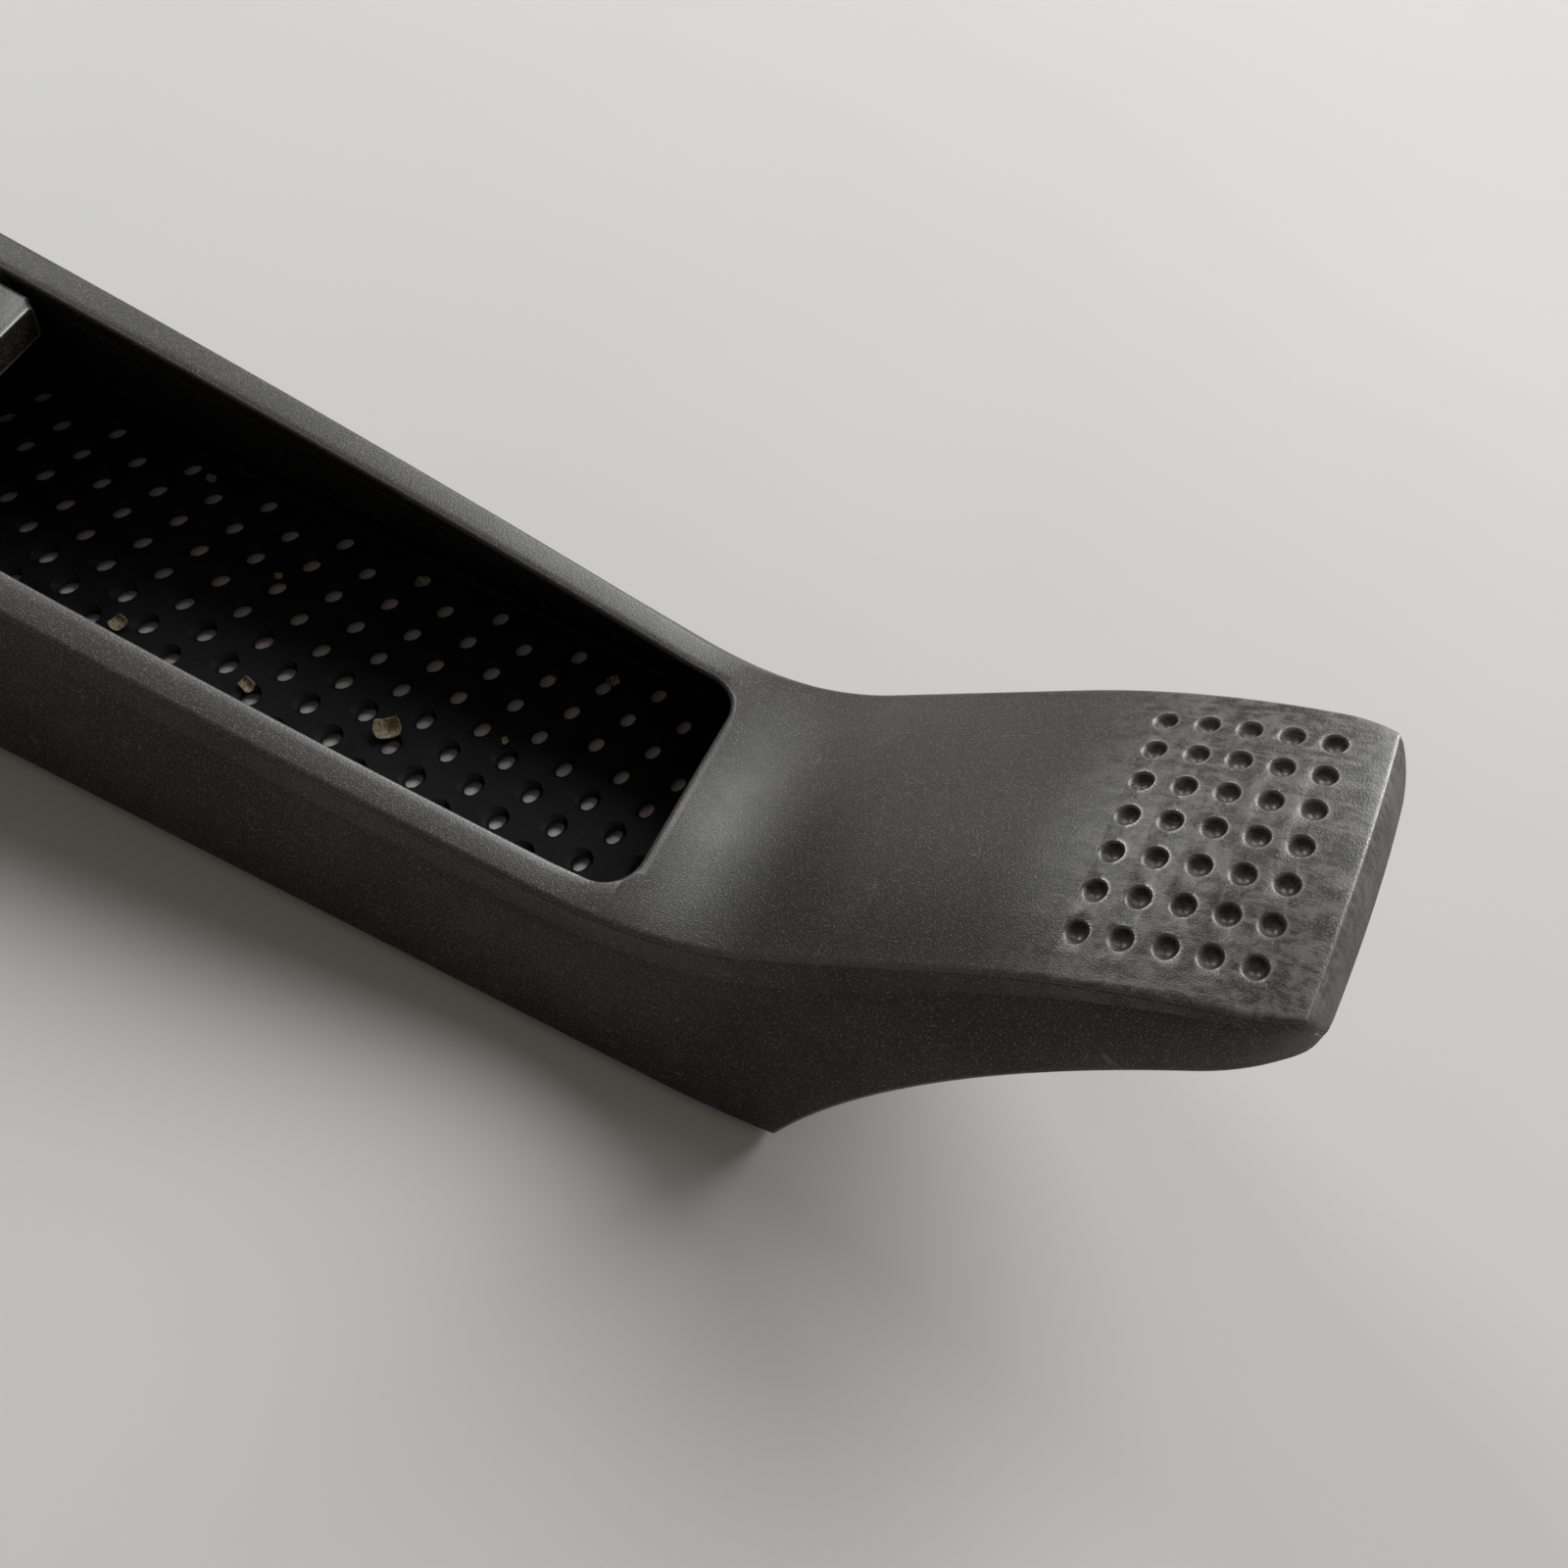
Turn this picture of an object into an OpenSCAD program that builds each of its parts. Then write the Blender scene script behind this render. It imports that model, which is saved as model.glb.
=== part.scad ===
// Rasp plane: cast frame, perforated rasp blade, cast handle and blade tension gear.
// Millimetres. +X runs to the toe, +Y to the left side, +Z up. The tooth tips touch Z = 0.
// The X values below are measured from a mark 67.4 mm behind the toe's tip. Each piece is then
// moved by mid_x, which puts X = 0 halfway along the tool.

/* [Frame casting] */
// Outside width of the frame at the sole.
frame_w = 45.6; // [44:0.1:60]
// Height of the frame's lower edge above the tooth tips.
frame_clear = 1; // [0.8:0.1:1.5]
// Outside width over the rails beside the handle.
rail_w = 37.6; // [34:0.1:42]
// Width of a rail's flat top.
rail_top = 4.1; // [3:0.1:6]
// Height of the rails where the window ends.
waist_h = 16.15; // [14:0.05:22]
// Fall of the rails towards the toe, in degrees.
rail_fall = 6.2; // [3:0.1:8]
// Height of the rails beside the handle.
rail_h = 29.5; // [27:0.1:34]
// Front end of the window.
window_front = 9.9; // [4:0.1:14]
// Radius of the window's front corners.
window_r = 4; // [2:0.5:6]
// Thickness of the skin over the toe.
skin_t = 3.4; // [2.5:0.1:5]
// Room between the blade's rear lip and the heel wall.
heel_gap = 4; // [3:0.5:8]
// Thickness of the heel wall.
heel_t = 5; // [4:0.5:8]
// Length of the rounded fall at the top of the heel.
heel_fall_l = 14; // [4:1:20]
// Height of the rounded fall at the top of the heel.
heel_fall_h = 9; // [2:0.5:10]
// Radius of the heel's corners seen from above.
heel_r = 5; // [2:0.5:6]

/* [Toe] */
// Front end of the flat sole.
prow_x = 32.4; // [30:0.1:34]
// Radius of the valley between the rails and the toe.
valley_r = 27; // [20:1:30]
// Steepest slope of the toe, in degrees.
toe_slope = 42; // [36:1:46]
// Length of the straight part of the slope, along X.
toe_straight = 16; // [8:0.5:18]
// Radius of the crest near the toe's tip.
crest_r = 80; // [60:1:100]
// Front end of the toe.
tip_x = 67.4; // [62:0.1:72]
// Length of the tip's rounded corners along X.
tip_l = 7.5; // [3:0.5:9]
// Inset of the tip's rounded corners along Y.
tip_w = 4.4; // [2:0.1:8]
// Length of the slanted front face along X.
nose_l = 3.2; // [1:0.1:5]
// Height of the slanted front face.
nose_h = 5.4; // [1:0.1:6]
// Hollow radius of the toe's underside.
under_r = 70; // [60:1:90]
// Rise of the toe's middle above its edges.
crown = 2.4; // [0:0.1:3]

/* [Toe dimples] */
// Dimples across the toe.
dimple_rows = 7; // [3:2:9]
// Dimples along the toe.
dimple_cols = 5; // [2:1:6]
// Spacing across the toe.
dimple_dy = 3.76; // [3:0.02:4]
// Spacing along the toe.
dimple_dx = 3.15; // [2.5:0.05:3.5]
// First column of dimples.
dimple_x = 47.3; // [45:0.1:50]
// Radius of a dimple's rim.
dimple_r = 1.05; // [0.6:0.05:1.4]
// Depth of a dimple.
dimple_deep = 0.9; // [0.4:0.1:1.5]

/* [Rasp blade] */
// Length of the blade.
blade_len = 254; // [240:0.5:254]
// Width of the blade over its flanges.
blade_w = 41.3; // [36:0.1:41.3]
// Thickness of the sheet.
sheet_t = 0.7; // [0.5:0.05:0.9]
// Depth of the teeth under the sheet.
tooth_h = 0.6; // [0.3:0.05:0.8]
// Height of the side flanges.
flange_h = 4; // [3:0.1:4.2]
// Height of the turned-up ends.
lip_h = 6.2; // [5:0.1:6.4]
// Spacing of the teeth along a row.
tooth_dx = 10; // [10:0.1:12]
// Spacing of the rows.
row_dy = 2.25; // [2.2:0.01:2.5]
// Shift of each row against the one beside it.
row_shift = 4.25; // [4:0.05:4.5]
// Rows of teeth.
tooth_rows = 16; // [4:1:16]
// Radius of a tooth's opening.
tooth_r = 1.2; // [0.9:0.05:1.3]
// Rake of a tooth's opening, in degrees.
tooth_rake = 32; // [20:1:40]
// Radius of the small side openings in the left flange.
side_r = 0.7; // [0.4:0.05:0.9]

/* [Handle casting] */
// Front end of the handle's foot.
foot_front = -73.4; // [-80:0.1:-70]
// Distance from the heel's outside to the foot's rear end.
foot_inset = 22; // [20:0.5:26]
// Width of the handle's foot.
foot_w = 28.2; // [24:0.1:28.4]
// Height of the deck that carries the handle.
deck_z = 18.6; // [17:0.1:20]
// Thickness of the deck.
deck_t = 3; // [2.5:0.1:4]
// Gap from the rails' top down to the foot's top.
foot_drop = 1; // [0.5:0.1:3]
// Height of the grip's crest.
grip_top = 100; // [90:1:112]
// Half the width of the grip.
grip_hw = 13.2; // [11:0.1:14]
// Half the length of the grip at mid height.
grip_hl = 16.6; // [14:0.1:20]
// Distance from the foot's rear end to the grip's middle.
grip_inset = 40; // [38:0.5:46]
// Wall of the cored grip.
grip_wall = 3.2; // [2.5:0.1:5]

/* [Handle screws] */
// Distance from the foot's front end to the front screw.
hscrew_front = 18.6; // [12:0.1:26]
// Distance from the foot's rear end to the rear screw.
hscrew_rear = 14; // [8:0.5:18]
// Radius of a handle screw.
hscrew_r = 2.5; // [2:0.1:3]
// Radius of a handle screw's head.
hscrew_head_r = 4.6; // [4:0.1:5.5]
// Height of a handle screw's head.
hscrew_head_h = 3; // [2:0.1:3.4]
// Depth of the thread in the handle.
hscrew_deep = 6; // [4:0.1:8]
// Thickness of a washer.
hwasher_t = 1; // [0.6:0.1:1.2]

/* [Tension gear] */
// Height of the tension screw's axis.
tscrew_z = 10.5; // [10:0.1:11]
// Radius of the tension screw.
tscrew_r = 2.95; // [2.5:0.05:3.5]
// Radial clearance of the screw in its bores.
run_gap = 0.05; // [0.02:0.01:0.1]
// Radius of the screw's head.
thead_r = 7; // [5:0.1:8]
// Length of the screw's head.
thead_h = 8; // [5:0.5:10]
// Flutes round the head.
flutes = 12; // [6:1:20]
// Length of the slider along the screw.
slider_l = 12; // [9:0.5:14]
// Width of the slider.
slider_w = 22; // [18:0.5:26]
// Gap between the slider and its guides.
slide_gap = 0.1; // [0.05:0.01:0.2]
// Thickness of the washer under the head.
washer_t = 0.85; // [0.6:0.05:1.2]
// Radius of the washer under the head.
washer_r = 8; // [7:0.1:8.5]
// Radial height of the retaining ring over the screw.
ring_up = 1.9; // [1:0.1:2]
// Thickness of the retaining ring.
ring_t = 0.8; // [0.6:0.1:1]

/* [Hidden] */

eps = 0.01;
cast_col = [0.36, 0.35, 0.34];
steel_col = [0.62, 0.62, 0.62];
blade_col = [0.1, 0.11, 0.13];

// Ends along X: the blade behind the sole's front end, then the heel and the handle's foot.
blade_front = prow_x - 3.4;
blade_rear = blade_front - blade_len;
heel_x = blade_rear - heel_gap - heel_t;
foot_rear = heel_x + foot_inset;
hscrew_x = [foot_front - hscrew_front, foot_rear + hscrew_rear];

hw_sole = frame_w / 2;
hw_rail = rail_w / 2;
hw_waist = hw_rail - 2.2;
waist_x = 10;
bow_x = -70;
z_low = frame_clear;

// Top line of the frame: level rails, falling rails, valley arc, straight slope, crest arc.
valley_x = 3;
valley_cx = valley_x + valley_r * sin(rail_fall);
valley_cz = waist_h + valley_r * cos(rail_fall);
slope_x0 = valley_cx + valley_r * sin(toe_slope);
slope_z0 = valley_cz - valley_r * cos(toe_slope);
slope_x1 = slope_x0 + toe_straight;
slope_z1 = slope_z0 + toe_straight * tan(toe_slope);
crest_cx = slope_x1 + crest_r * sin(toe_slope);
crest_cz = slope_z1 - crest_r * cos(toe_slope);
// Where the level rails begin to fall.
knee_x = valley_x - (rail_h - waist_h) / tan(rail_fall);
function round_max(a, b, s) = (a + b + sqrt((a - b) * (a - b) + s * s)) / 2;
function quarter(u) = 1 - sqrt(max(0, 1 - u * u));
function heel_drop(x) = heel_fall_h * quarter(max(0, heel_x + heel_fall_l - x) / heel_fall_l);
function heel_cut(x) = heel_r * quarter(max(0, heel_x + heel_r - x) / heel_r) * 0.98;
function rail_z(x) = -round_max(-rail_h, -(waist_h + (valley_x - x) * tan(rail_fall)), 0.8) - heel_drop(x);
function nose_drop(x) = nose_h * pow(max(0, x - tip_x + nose_l) / nose_l, 1.3);
function top_z(x) = x < valley_x ? rail_z(x)
    : x < slope_x0 ? valley_cz - sqrt(valley_r * valley_r - (x - valley_cx) * (x - valley_cx))
    : x < slope_x1 ? slope_z0 + (x - slope_x0) * tan(toe_slope)
    : crest_cz + sqrt(crest_r * crest_r - (x - crest_cx) * (x - crest_cx)) - nose_drop(x);
function top_a(x) = x < slope_x1 ? toe_slope : asin((crest_cx - x) / crest_r);

// Lower line of the frame: flat sole, then the hollow underside of the toe.
prow_a = 76;
under_cx = prow_x - under_r * sin(prow_a) + 2 * under_r * sin(prow_a);
under_cz = z_low - under_r * cos(prow_a);
function low_z(x) = x < prow_x ? z_low
    : under_cz + sqrt(under_r * under_r - (x - under_cx) * (x - under_cx));

// Half widths of the top edge and of the lower edge.
function tip_cut(x) = tip_w * quarter(max(0, x - tip_x + tip_l) / tip_l);
function top_hw(x) = x < bow_x ? hw_rail - heel_cut(x)
    : x < waist_x ? hw_rail - (hw_rail - hw_waist) * pow((x - bow_x) / (waist_x - bow_x), 2)
    : hw_waist - 0.025 * (x - waist_x) - tip_cut(x);
function low_hw(x) = x < prow_x ? hw_sole - heel_cut(x) : max(top_hw(x) + 0.4, hw_sole - 0.6 - 0.2 * (x - prow_x) - tip_cut(x));
function crown_z(x) = crown * min(1, max(0, (x - valley_x) / 25)) * (1 - max(0, x - 45) / 40);

// One cross section of the frame, left side then right side.
edge_r = 0.8;
function half_section(x) = [
    [low_hw(x) - 0.5, low_z(x)],
    [low_hw(x), low_z(x) + 0.6],
    for (s = [0.25, 0.5, 0.75])
        [low_hw(x) + (top_hw(x) - low_hw(x)) * pow(s, 1.5), low_z(x) + (top_z(x) - low_z(x)) * s],
    [top_hw(x), top_z(x) - edge_r],
    [top_hw(x) - 0.25, top_z(x) - 0.25],
    [top_hw(x) - edge_r, top_z(x)],
    [top_hw(x) * 0.6, top_z(x) + crown_z(x) * 0.7]];
function mirrored(h, mid) = concat(h, [mid], [for (i = [len(h) - 1 : -1 : 0]) [-h[i][0], h[i][1]]]);
function flat(v) = [for (a = v) for (b = a) b];

// Skins a row of equal-length sections. Each section is [x, points] and runs left, top, right.
module loft_x(sections) {
    n = len(sections[0][1]);
    m = len(sections);
    pts = flat([for (s = sections) [for (p = s[1]) [s[0], p[0], p[1]]]]);
    polyhedron(pts, concat(
        [[for (i = [0 : n - 1]) i]],
        [[for (i = [n - 1 : -1 : 0]) (m - 1) * n + i]],
        flat([for (k = [0 : m - 2]) flat([for (i = [0 : n - 1])
            let (j = (i + 1) % n)
            [[k * n + i, (k + 1) * n + i, k * n + j], [k * n + j, (k + 1) * n + i, (k + 1) * n + j]]])])));
}

// Skins a stack of level ellipses. Each entry is [z, centre x, half length, half width].
module loft_z(stack, n) {
    m = len(stack);
    pts = flat([for (s = stack) [for (i = [0 : n - 1])
        [s[1] + s[2] * cos(360 * i / n), s[3] * sin(360 * i / n), s[0]]]]);
    polyhedron(pts, concat(
        [[for (i = [0 : n - 1]) i]],
        [[for (i = [n - 1 : -1 : 0]) (m - 1) * n + i]],
        flat([for (k = [0 : m - 2]) flat([for (i = [0 : n - 1])
            let (j = (i + 1) % n)
            [[k * n + i, (k + 1) * n + i, k * n + j], [k * n + j, (k + 1) * n + i, (k + 1) * n + j]]])])));
}

// A round bar along X.
module bar_x(r, x0, x1, z) {
    translate([x0, 0, z]) rotate([0, 90, 0]) cylinder(r = r, h = x1 - x0, $fn = 96);
}

// A block from its two corners.
module block(x0, x1, hy, z0, z1) {
    translate([x0, -hy, z0]) cube([x1 - x0, 2 * hy, z1 - z0]);
}

rear_x = heel_x;
heel_in = heel_x + heel_t;
frame_x = concat(
    [for (a = [0 : 15 : 75]) rear_x + heel_r - heel_r * cos(a)],
    [for (a = [54 : 12 : 90]) rear_x + heel_fall_l - heel_fall_l * cos(a)],
    [for (t = [0.25, 0.65]) (heel_x + heel_fall_l) * (1 - t) + (knee_x - 10) * t],
    [for (d = [-10 : 6 : 14]) knee_x + d], [(knee_x + foot_front + 12) / 2],
    [for (x = [foot_front - 1.6 : 12.5 : 0]) x],
    [for (x = [5 : 3 : 29]) x],
    [prow_x - 0.02, prow_x + 0.4, prow_x + 1.2, prow_x + 2.4, prow_x + 4],
    [for (x = [prow_x + 6.5 : 3 : tip_x - tip_l]) x],
    [for (a = [10 : 10 : 80]) tip_x - tip_l + tip_l * sin(a)],
    [tip_x - 0.02]);

// Blade position, and the seats in the frame that hold it.
blade_z = tooth_h;
seat_hw = blade_w / 2 + 0.25;
seat_z = blade_z + flange_h + 0.05;
bar_x0 = blade_front - sheet_t - 5;
bar_x1 = blade_front - sheet_t - 0.05;
bar_z0 = blade_z + sheet_t + 0.05;
bar_z1 = 9;
slot_x1 = blade_front + 0.4;
cavity_hw = seat_hw - 1;

function rail_in(x) = top_hw(x) - rail_top + 0.5 * max(0, (x + 60) / 70);
function cave_hw(x, z) = cavity_hw + (rail_in(x) - cavity_hw) * (z - seat_z) / (top_z(x) - seat_z);
function cave_top(x) = x < foot_front - 4 ? deck_z - deck_t : top_z(x) - skin_t;
cave_x = concat([heel_in, (heel_in + knee_x) / 2, knee_x, (knee_x + foot_front) / 2, foot_front - 4.02, foot_front - 4],
    [for (x = [foot_front + 8 : 12 : 0]) x], [for (x = [4 : 4 : slot_x1 - 4]) x], [slot_x1]);
function corner_cut(x) = x < window_front - window_r ? 0
    : window_r - sqrt(max(0, window_r * window_r - pow(x - window_front + window_r, 2)));
window_x = concat([foot_front - 4.5], [for (x = [foot_front + 8 : 12 : -2]) x],
    [for (a = [0 : 15 : 90]) window_front - window_r + window_r * sin(a)]);
recess_x = [foot_rear - 0.4, knee_x - 4.1, knee_x + 2.1, foot_front - 4 + eps];

// Slider and its travel.
slider_x0 = blade_rear + sheet_t + 0.05;
slider_x1 = slider_x0 + slider_l;
slider_top = deck_z - deck_t - slide_gap;
slider_low = blade_z + lip_h + 0.3;
tscrew_x1 = slider_x1 + 4;
ring_x0 = heel_in + 0.1;
head_x1 = heel_x - washer_t - 0.1;
head_x0 = head_x1 - thead_h;

// Moves every piece so that X = 0 is halfway along the tool.
mid_x = -(head_x0 + tip_x - 0.02) / 2;

module dimples() {
    for (i = [0 : dimple_cols - 1])
        for (j = [0 : dimple_rows - 1])
            let (x = dimple_x + i * dimple_dx, y = (j - (dimple_rows - 1) / 2) * dimple_dy)
            translate([x, y, top_z(x) + crown_z(x) * (1 - pow(y / top_hw(x), 2))])
                rotate([0, -top_a(x), 0])
                    translate([0, 0, -dimple_deep])
                        cylinder(r1 = dimple_r * 0.45, r2 = dimple_r * 1.7, h = dimple_deep * 2.2, $fn = 32);
}

module toe_pocket() {
    loft_x([for (x = [prow_x + 7 : 3 : tip_x - 8])
        [x, [[1.6, low_z(x) - 12], [low_hw(x) - 3.2, low_z(x) - 12],
             [top_hw(x) - 3, top_z(x) - 4.2], [1.6, top_z(x) - 4.2]]]]);
}

module body_casting() {
    color(cast_col)
    translate([mid_x, 0, 0])
    union() {
        difference() {
            loft_x([for (x = frame_x) [x, mirrored(half_section(x), [0, top_z(x) + crown_z(x)])]]);
            // Seat for the blade, open below.
            block(heel_in, slot_x1, seat_hw, z_low - 2, seat_z);
            // Room over the blade, under the deck and under the toe's skin.
            loft_x([for (x = cave_x)
                [x, [[cavity_hw, seat_z - 0.5], [cavity_hw, seat_z], [cave_hw(x, cave_top(x)), cave_top(x)],
                     [-cave_hw(x, cave_top(x)), cave_top(x)], [-cavity_hw, seat_z], [-cavity_hw, seat_z - 0.5]]]]);
            // Open window in front of the handle.
            loft_x([for (x = window_x)
                let (low = top_z(x) - skin_t - 1, high = top_z(x) + 4,
                     wl = cave_hw(x, low) - corner_cut(x), wh = cave_hw(x, high) - corner_cut(x))
                [x, [[wl, low], [wh, high], [-wh, high], [-wl, low]]]]);
            // Recess for the handle's foot, over the deck.
            loft_x([for (x = recess_x)
                [x, [[foot_w / 2 + 0.3, deck_z], [foot_w / 2 + 0.3, top_z(x) + 4],
                     [-foot_w / 2 - 0.3, top_z(x) + 4], [-foot_w / 2 - 0.3, deck_z]]]]);
            toe_pocket();
            mirror([0, 1, 0]) toe_pocket();
            dimples();
            // Holes for the handle screws and the tension screw.
            for (x = hscrew_x)
                translate([x, 0, deck_z - deck_t - 1]) cylinder(r = hscrew_r + 0.3, h = deck_t + 2, $fn = 64);
            bar_x(tscrew_r + run_gap, heel_x - 1, heel_in + 1, tscrew_z);
        }
        // Cross bar that the blade's front lip hooks over.
        block(bar_x0, bar_x1, seat_hw + 0.3, bar_z0, bar_z1);
        // Guides on both sides of the slider.
        for (s = [-1, 1])
            translate([slider_x0 - 1, s * (slider_w / 2 + slide_gap + 1) - 1, tscrew_z - 2])
                cube([slider_l + 8, 2, deck_z - deck_t - tscrew_z + 2.5]);
    }
}

// One raked opening of a tooth.
module tooth_bore(r, up, down) {
    rotate([0, tooth_rake, 0]) translate([0, 0, -down]) cylinder(r = r, h = up + down, $fn = 24);
}

tooth_y0 = 17.45;
tooth_x0 = -60.6;
rows_x0 = blade_rear + 8;
rows_x1 = blade_front - 7;
function row_first(r) = tooth_x0 + r * row_shift
    - tooth_dx * floor((tooth_x0 + r * row_shift - rows_x0) / tooth_dx);

module rasp_blade() {
    color(blade_col)
    translate([mid_x, 0, 0])
    difference() {
        union() {
            block(blade_rear, blade_front, blade_w / 2, blade_z, blade_z + sheet_t);
            for (s = [-1, 1])
                translate([blade_rear + 3, s * (blade_w - sheet_t) / 2 - sheet_t / 2, blade_z])
                    cube([blade_len - 9, sheet_t, flange_h]);
            for (x = [blade_rear, blade_front - sheet_t])
                block(x, x + sheet_t, blade_w / 2 - 6, blade_z, blade_z + lip_h);
            // Raised cutting edges under the sheet.
            difference() {
                union() for (r = [0 : tooth_rows - 1])
                    for (x = [row_first(r) : tooth_dx : rows_x1])
                        translate([x - 0.35, tooth_y0 - r * row_dy, blade_z + sheet_t / 2])
                            tooth_bore(tooth_r + 0.25, 0, 1.35);
                block(blade_rear, blade_front, blade_w / 2, blade_z + sheet_t - 0.03, blade_z + 3);
            }
        }
        for (r = [0 : tooth_rows - 1])
            for (x = [row_first(r) : tooth_dx : rows_x1])
                translate([x, tooth_y0 - r * row_dy, blade_z + sheet_t / 2]) tooth_bore(tooth_r, 2, 3);
        for (x = [rows_x0 : tooth_dx / 2 : rows_x1])
            translate([x, blade_w / 2 - 2 * sheet_t, blade_z + 2.6])
                rotate([-90, 0, 0]) cylinder(r = side_r, h = 3 * sheet_t, $fn = 24);
        block(blade_rear - 1, blade_front + 1, blade_w, -5, 0);
    }
}

function foot_z(x) = top_z(x) - foot_drop;
grip_x = foot_rear + grip_inset;
grip_z0 = deck_z + 4.4;
// Drawn outline of the grip: height from 23 to 100, shift, half length, half width. It is fitted to grip_top,
// to grip_hl (16.6 as drawn) and to grip_hw (13.2 as drawn).
grip_drawn = [[23, -3, 34, 13], [25.5, -3, 31, 12.7], [29, -3, 26, 12.2], [34, -2.5, 21.5, 12], [41, -1, 18.6, 12.4],
    [50, 2, 17.2, 13], [60, 4.5, 16.6, 13.2], [70, 5, 16.6, 13.1], [79, 3, 17.8, 12.6], [86, -0.5, 20, 11.6],
    [91.5, -4, 21.5, 10.2], [96, -7, 20.5, 8], [98.8, -9, 17, 5.2], [100, -10, 11, 2.4]];
function gz(z) = grip_z0 + (z - 23) / 77 * (grip_top - grip_z0);
grip_stack = [for (g = grip_drawn)
    [gz(g[0]), grip_x + g[1] * grip_hl / 16.6, g[2] * grip_hl / 16.6, g[3] * grip_hw / 13.2]];

module handle_casting() {
    color(cast_col)
    translate([mid_x, 0, 0])
    difference() {
        union() {
            loft_x([for (x = [foot_rear, knee_x - 40, knee_x - 4, knee_x + 2, knee_x + 8, knee_x + 30, foot_front - 0.8, foot_front - 0.25, foot_front])
                let (w = foot_w / 2 - max(0, x - foot_front + 0.8), z = foot_z(x) - max(0, x - foot_front + 0.8) * 0.7)
                [x, [[w, deck_z + 0.02], [w, z - 0.8], [w - 0.8, z], [-w + 0.8, z], [-w, z - 0.8],
                     [-w, deck_z + 0.02]]]]);
            loft_z(grip_stack, 32);
        }
        // Core of the grip, open below over the deck.
        loft_z(concat([[deck_z - 1, grip_stack[2][1], grip_stack[0][2] * 0.56, grip_stack[2][3] - grip_wall + 0.8]],
            [for (i = [2 : 10]) let (g = grip_stack[i])
                [g[0], g[1], min(grip_stack[0][2] * 0.56, g[2] - grip_wall), g[3] - grip_wall]]), 24);
        for (x = hscrew_x)
            translate([x, 0, deck_z - 1]) cylinder(r = hscrew_r, h = hscrew_deep + 1, $fn = 64);
    }
}

hscrew_z0 = deck_z - deck_t - hwasher_t - hscrew_head_h;
module handle_screws() {
    color(steel_col)
    translate([mid_x, 0, 0])
    for (x = hscrew_x)
        translate([x, 0, hscrew_z0])
            difference() {
                union() {
                    cylinder(r = hscrew_head_r, h = hscrew_head_h, $fn = 64);
                    cylinder(r = hscrew_r, h = hscrew_head_h + hwasher_t + deck_t + hscrew_deep - 0.6, $fn = 64);
                }
                translate([-hscrew_head_r - 1, -0.6, -1]) cube([2 * hscrew_head_r + 2, 1.2, 2.3]);
            }
}

module handle_washers() {
    color(steel_col)
    translate([mid_x, 0, 0])
    for (x = hscrew_x)
        translate([x, 0, hscrew_z0 + hscrew_head_h])
            difference() {
                cylinder(r = hscrew_head_r + 0.5, h = hwasher_t, $fn = 64);
                translate([0, 0, -1]) cylinder(r = hscrew_r + 0.1, h = hwasher_t + 2, $fn = 64);
            }
}

module tension_slider() {
    color(steel_col)
    translate([mid_x, 0, 0])
    difference() {
        union() {
            block(slider_x0, slider_x1, slider_w / 2, slider_low, slider_top);
            block(slider_x0, slider_x0 + 3.5, slider_w / 2, blade_z + sheet_t + 0.3, slider_low + 1);
        }
        bar_x(tscrew_r + run_gap, slider_x0 - 1, slider_x1 + 1, tscrew_z);
    }
}

module tension_screw() {
    color(steel_col)
    translate([mid_x, 0, 0])
    difference() {
        union() {
            bar_x(thead_r, head_x0, head_x1, tscrew_z);
            bar_x(tscrew_r, head_x1 - 1, tscrew_x1, tscrew_z);
        }
        for (i = [0 : flutes - 1])
            translate([0, 0, tscrew_z]) rotate([360 * i / flutes, 0, 0])
                translate([0, thead_r + 0.35, 0]) bar_x(0.9, head_x0 - 1, head_x1 + 1, 0);
        // Slot across the head.
        translate([head_x0 - 1, -0.75, tscrew_z - thead_r - 1]) cube([3.2, 1.5, 2 * thead_r + 2]);
        // Groove for the retaining ring.
        difference() {
            bar_x(tscrew_r + 1, ring_x0, ring_x0 + ring_t, tscrew_z);
            bar_x(tscrew_r - 0.6, ring_x0 - 1, ring_x0 + ring_t + 1, tscrew_z);
        }
    }
}

module thrust_washer() {
    color(steel_col)
    translate([mid_x, 0, 0])
    difference() {
        bar_x(washer_r, heel_x - washer_t - 0.05, heel_x - 0.05, tscrew_z);
        bar_x(tscrew_r + 0.2, heel_x - washer_t - 1, heel_x + 1, tscrew_z);
    }
}

module retaining_ring() {
    color(steel_col)
    translate([mid_x, 0, 0])
    difference() {
        bar_x(tscrew_r + ring_up, ring_x0, ring_x0 + ring_t, tscrew_z);
        bar_x(tscrew_r - 0.6, ring_x0 - 1, ring_x0 + ring_t + 1, tscrew_z);
        translate([ring_x0 - 1, -1.4, tscrew_z]) cube([ring_t + 2, 2.8, tscrew_r + 4]);
    }
}

body_casting();
rasp_blade();
handle_casting();
handle_screws();
handle_washers();
tension_slider();
tension_screw();
thrust_washer();
retaining_ring();
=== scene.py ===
# %% [markdown]
# # A rasp plane
# The real tool is a long channel of cast metal, painted dark grey. A perforated steel blade is its sole,
# a handle is screwed to its rear half, and its toe sweeps up and carries rows of small dimples for the
# thumb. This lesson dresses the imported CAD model: the three large pieces are made again here with finer
# curves and softer edges, and the small steel pieces keep their CAD shape and get a better finish.

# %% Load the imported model
import math
import random

import bmesh
import bpy
from mathutils import Matrix, Vector


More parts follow.
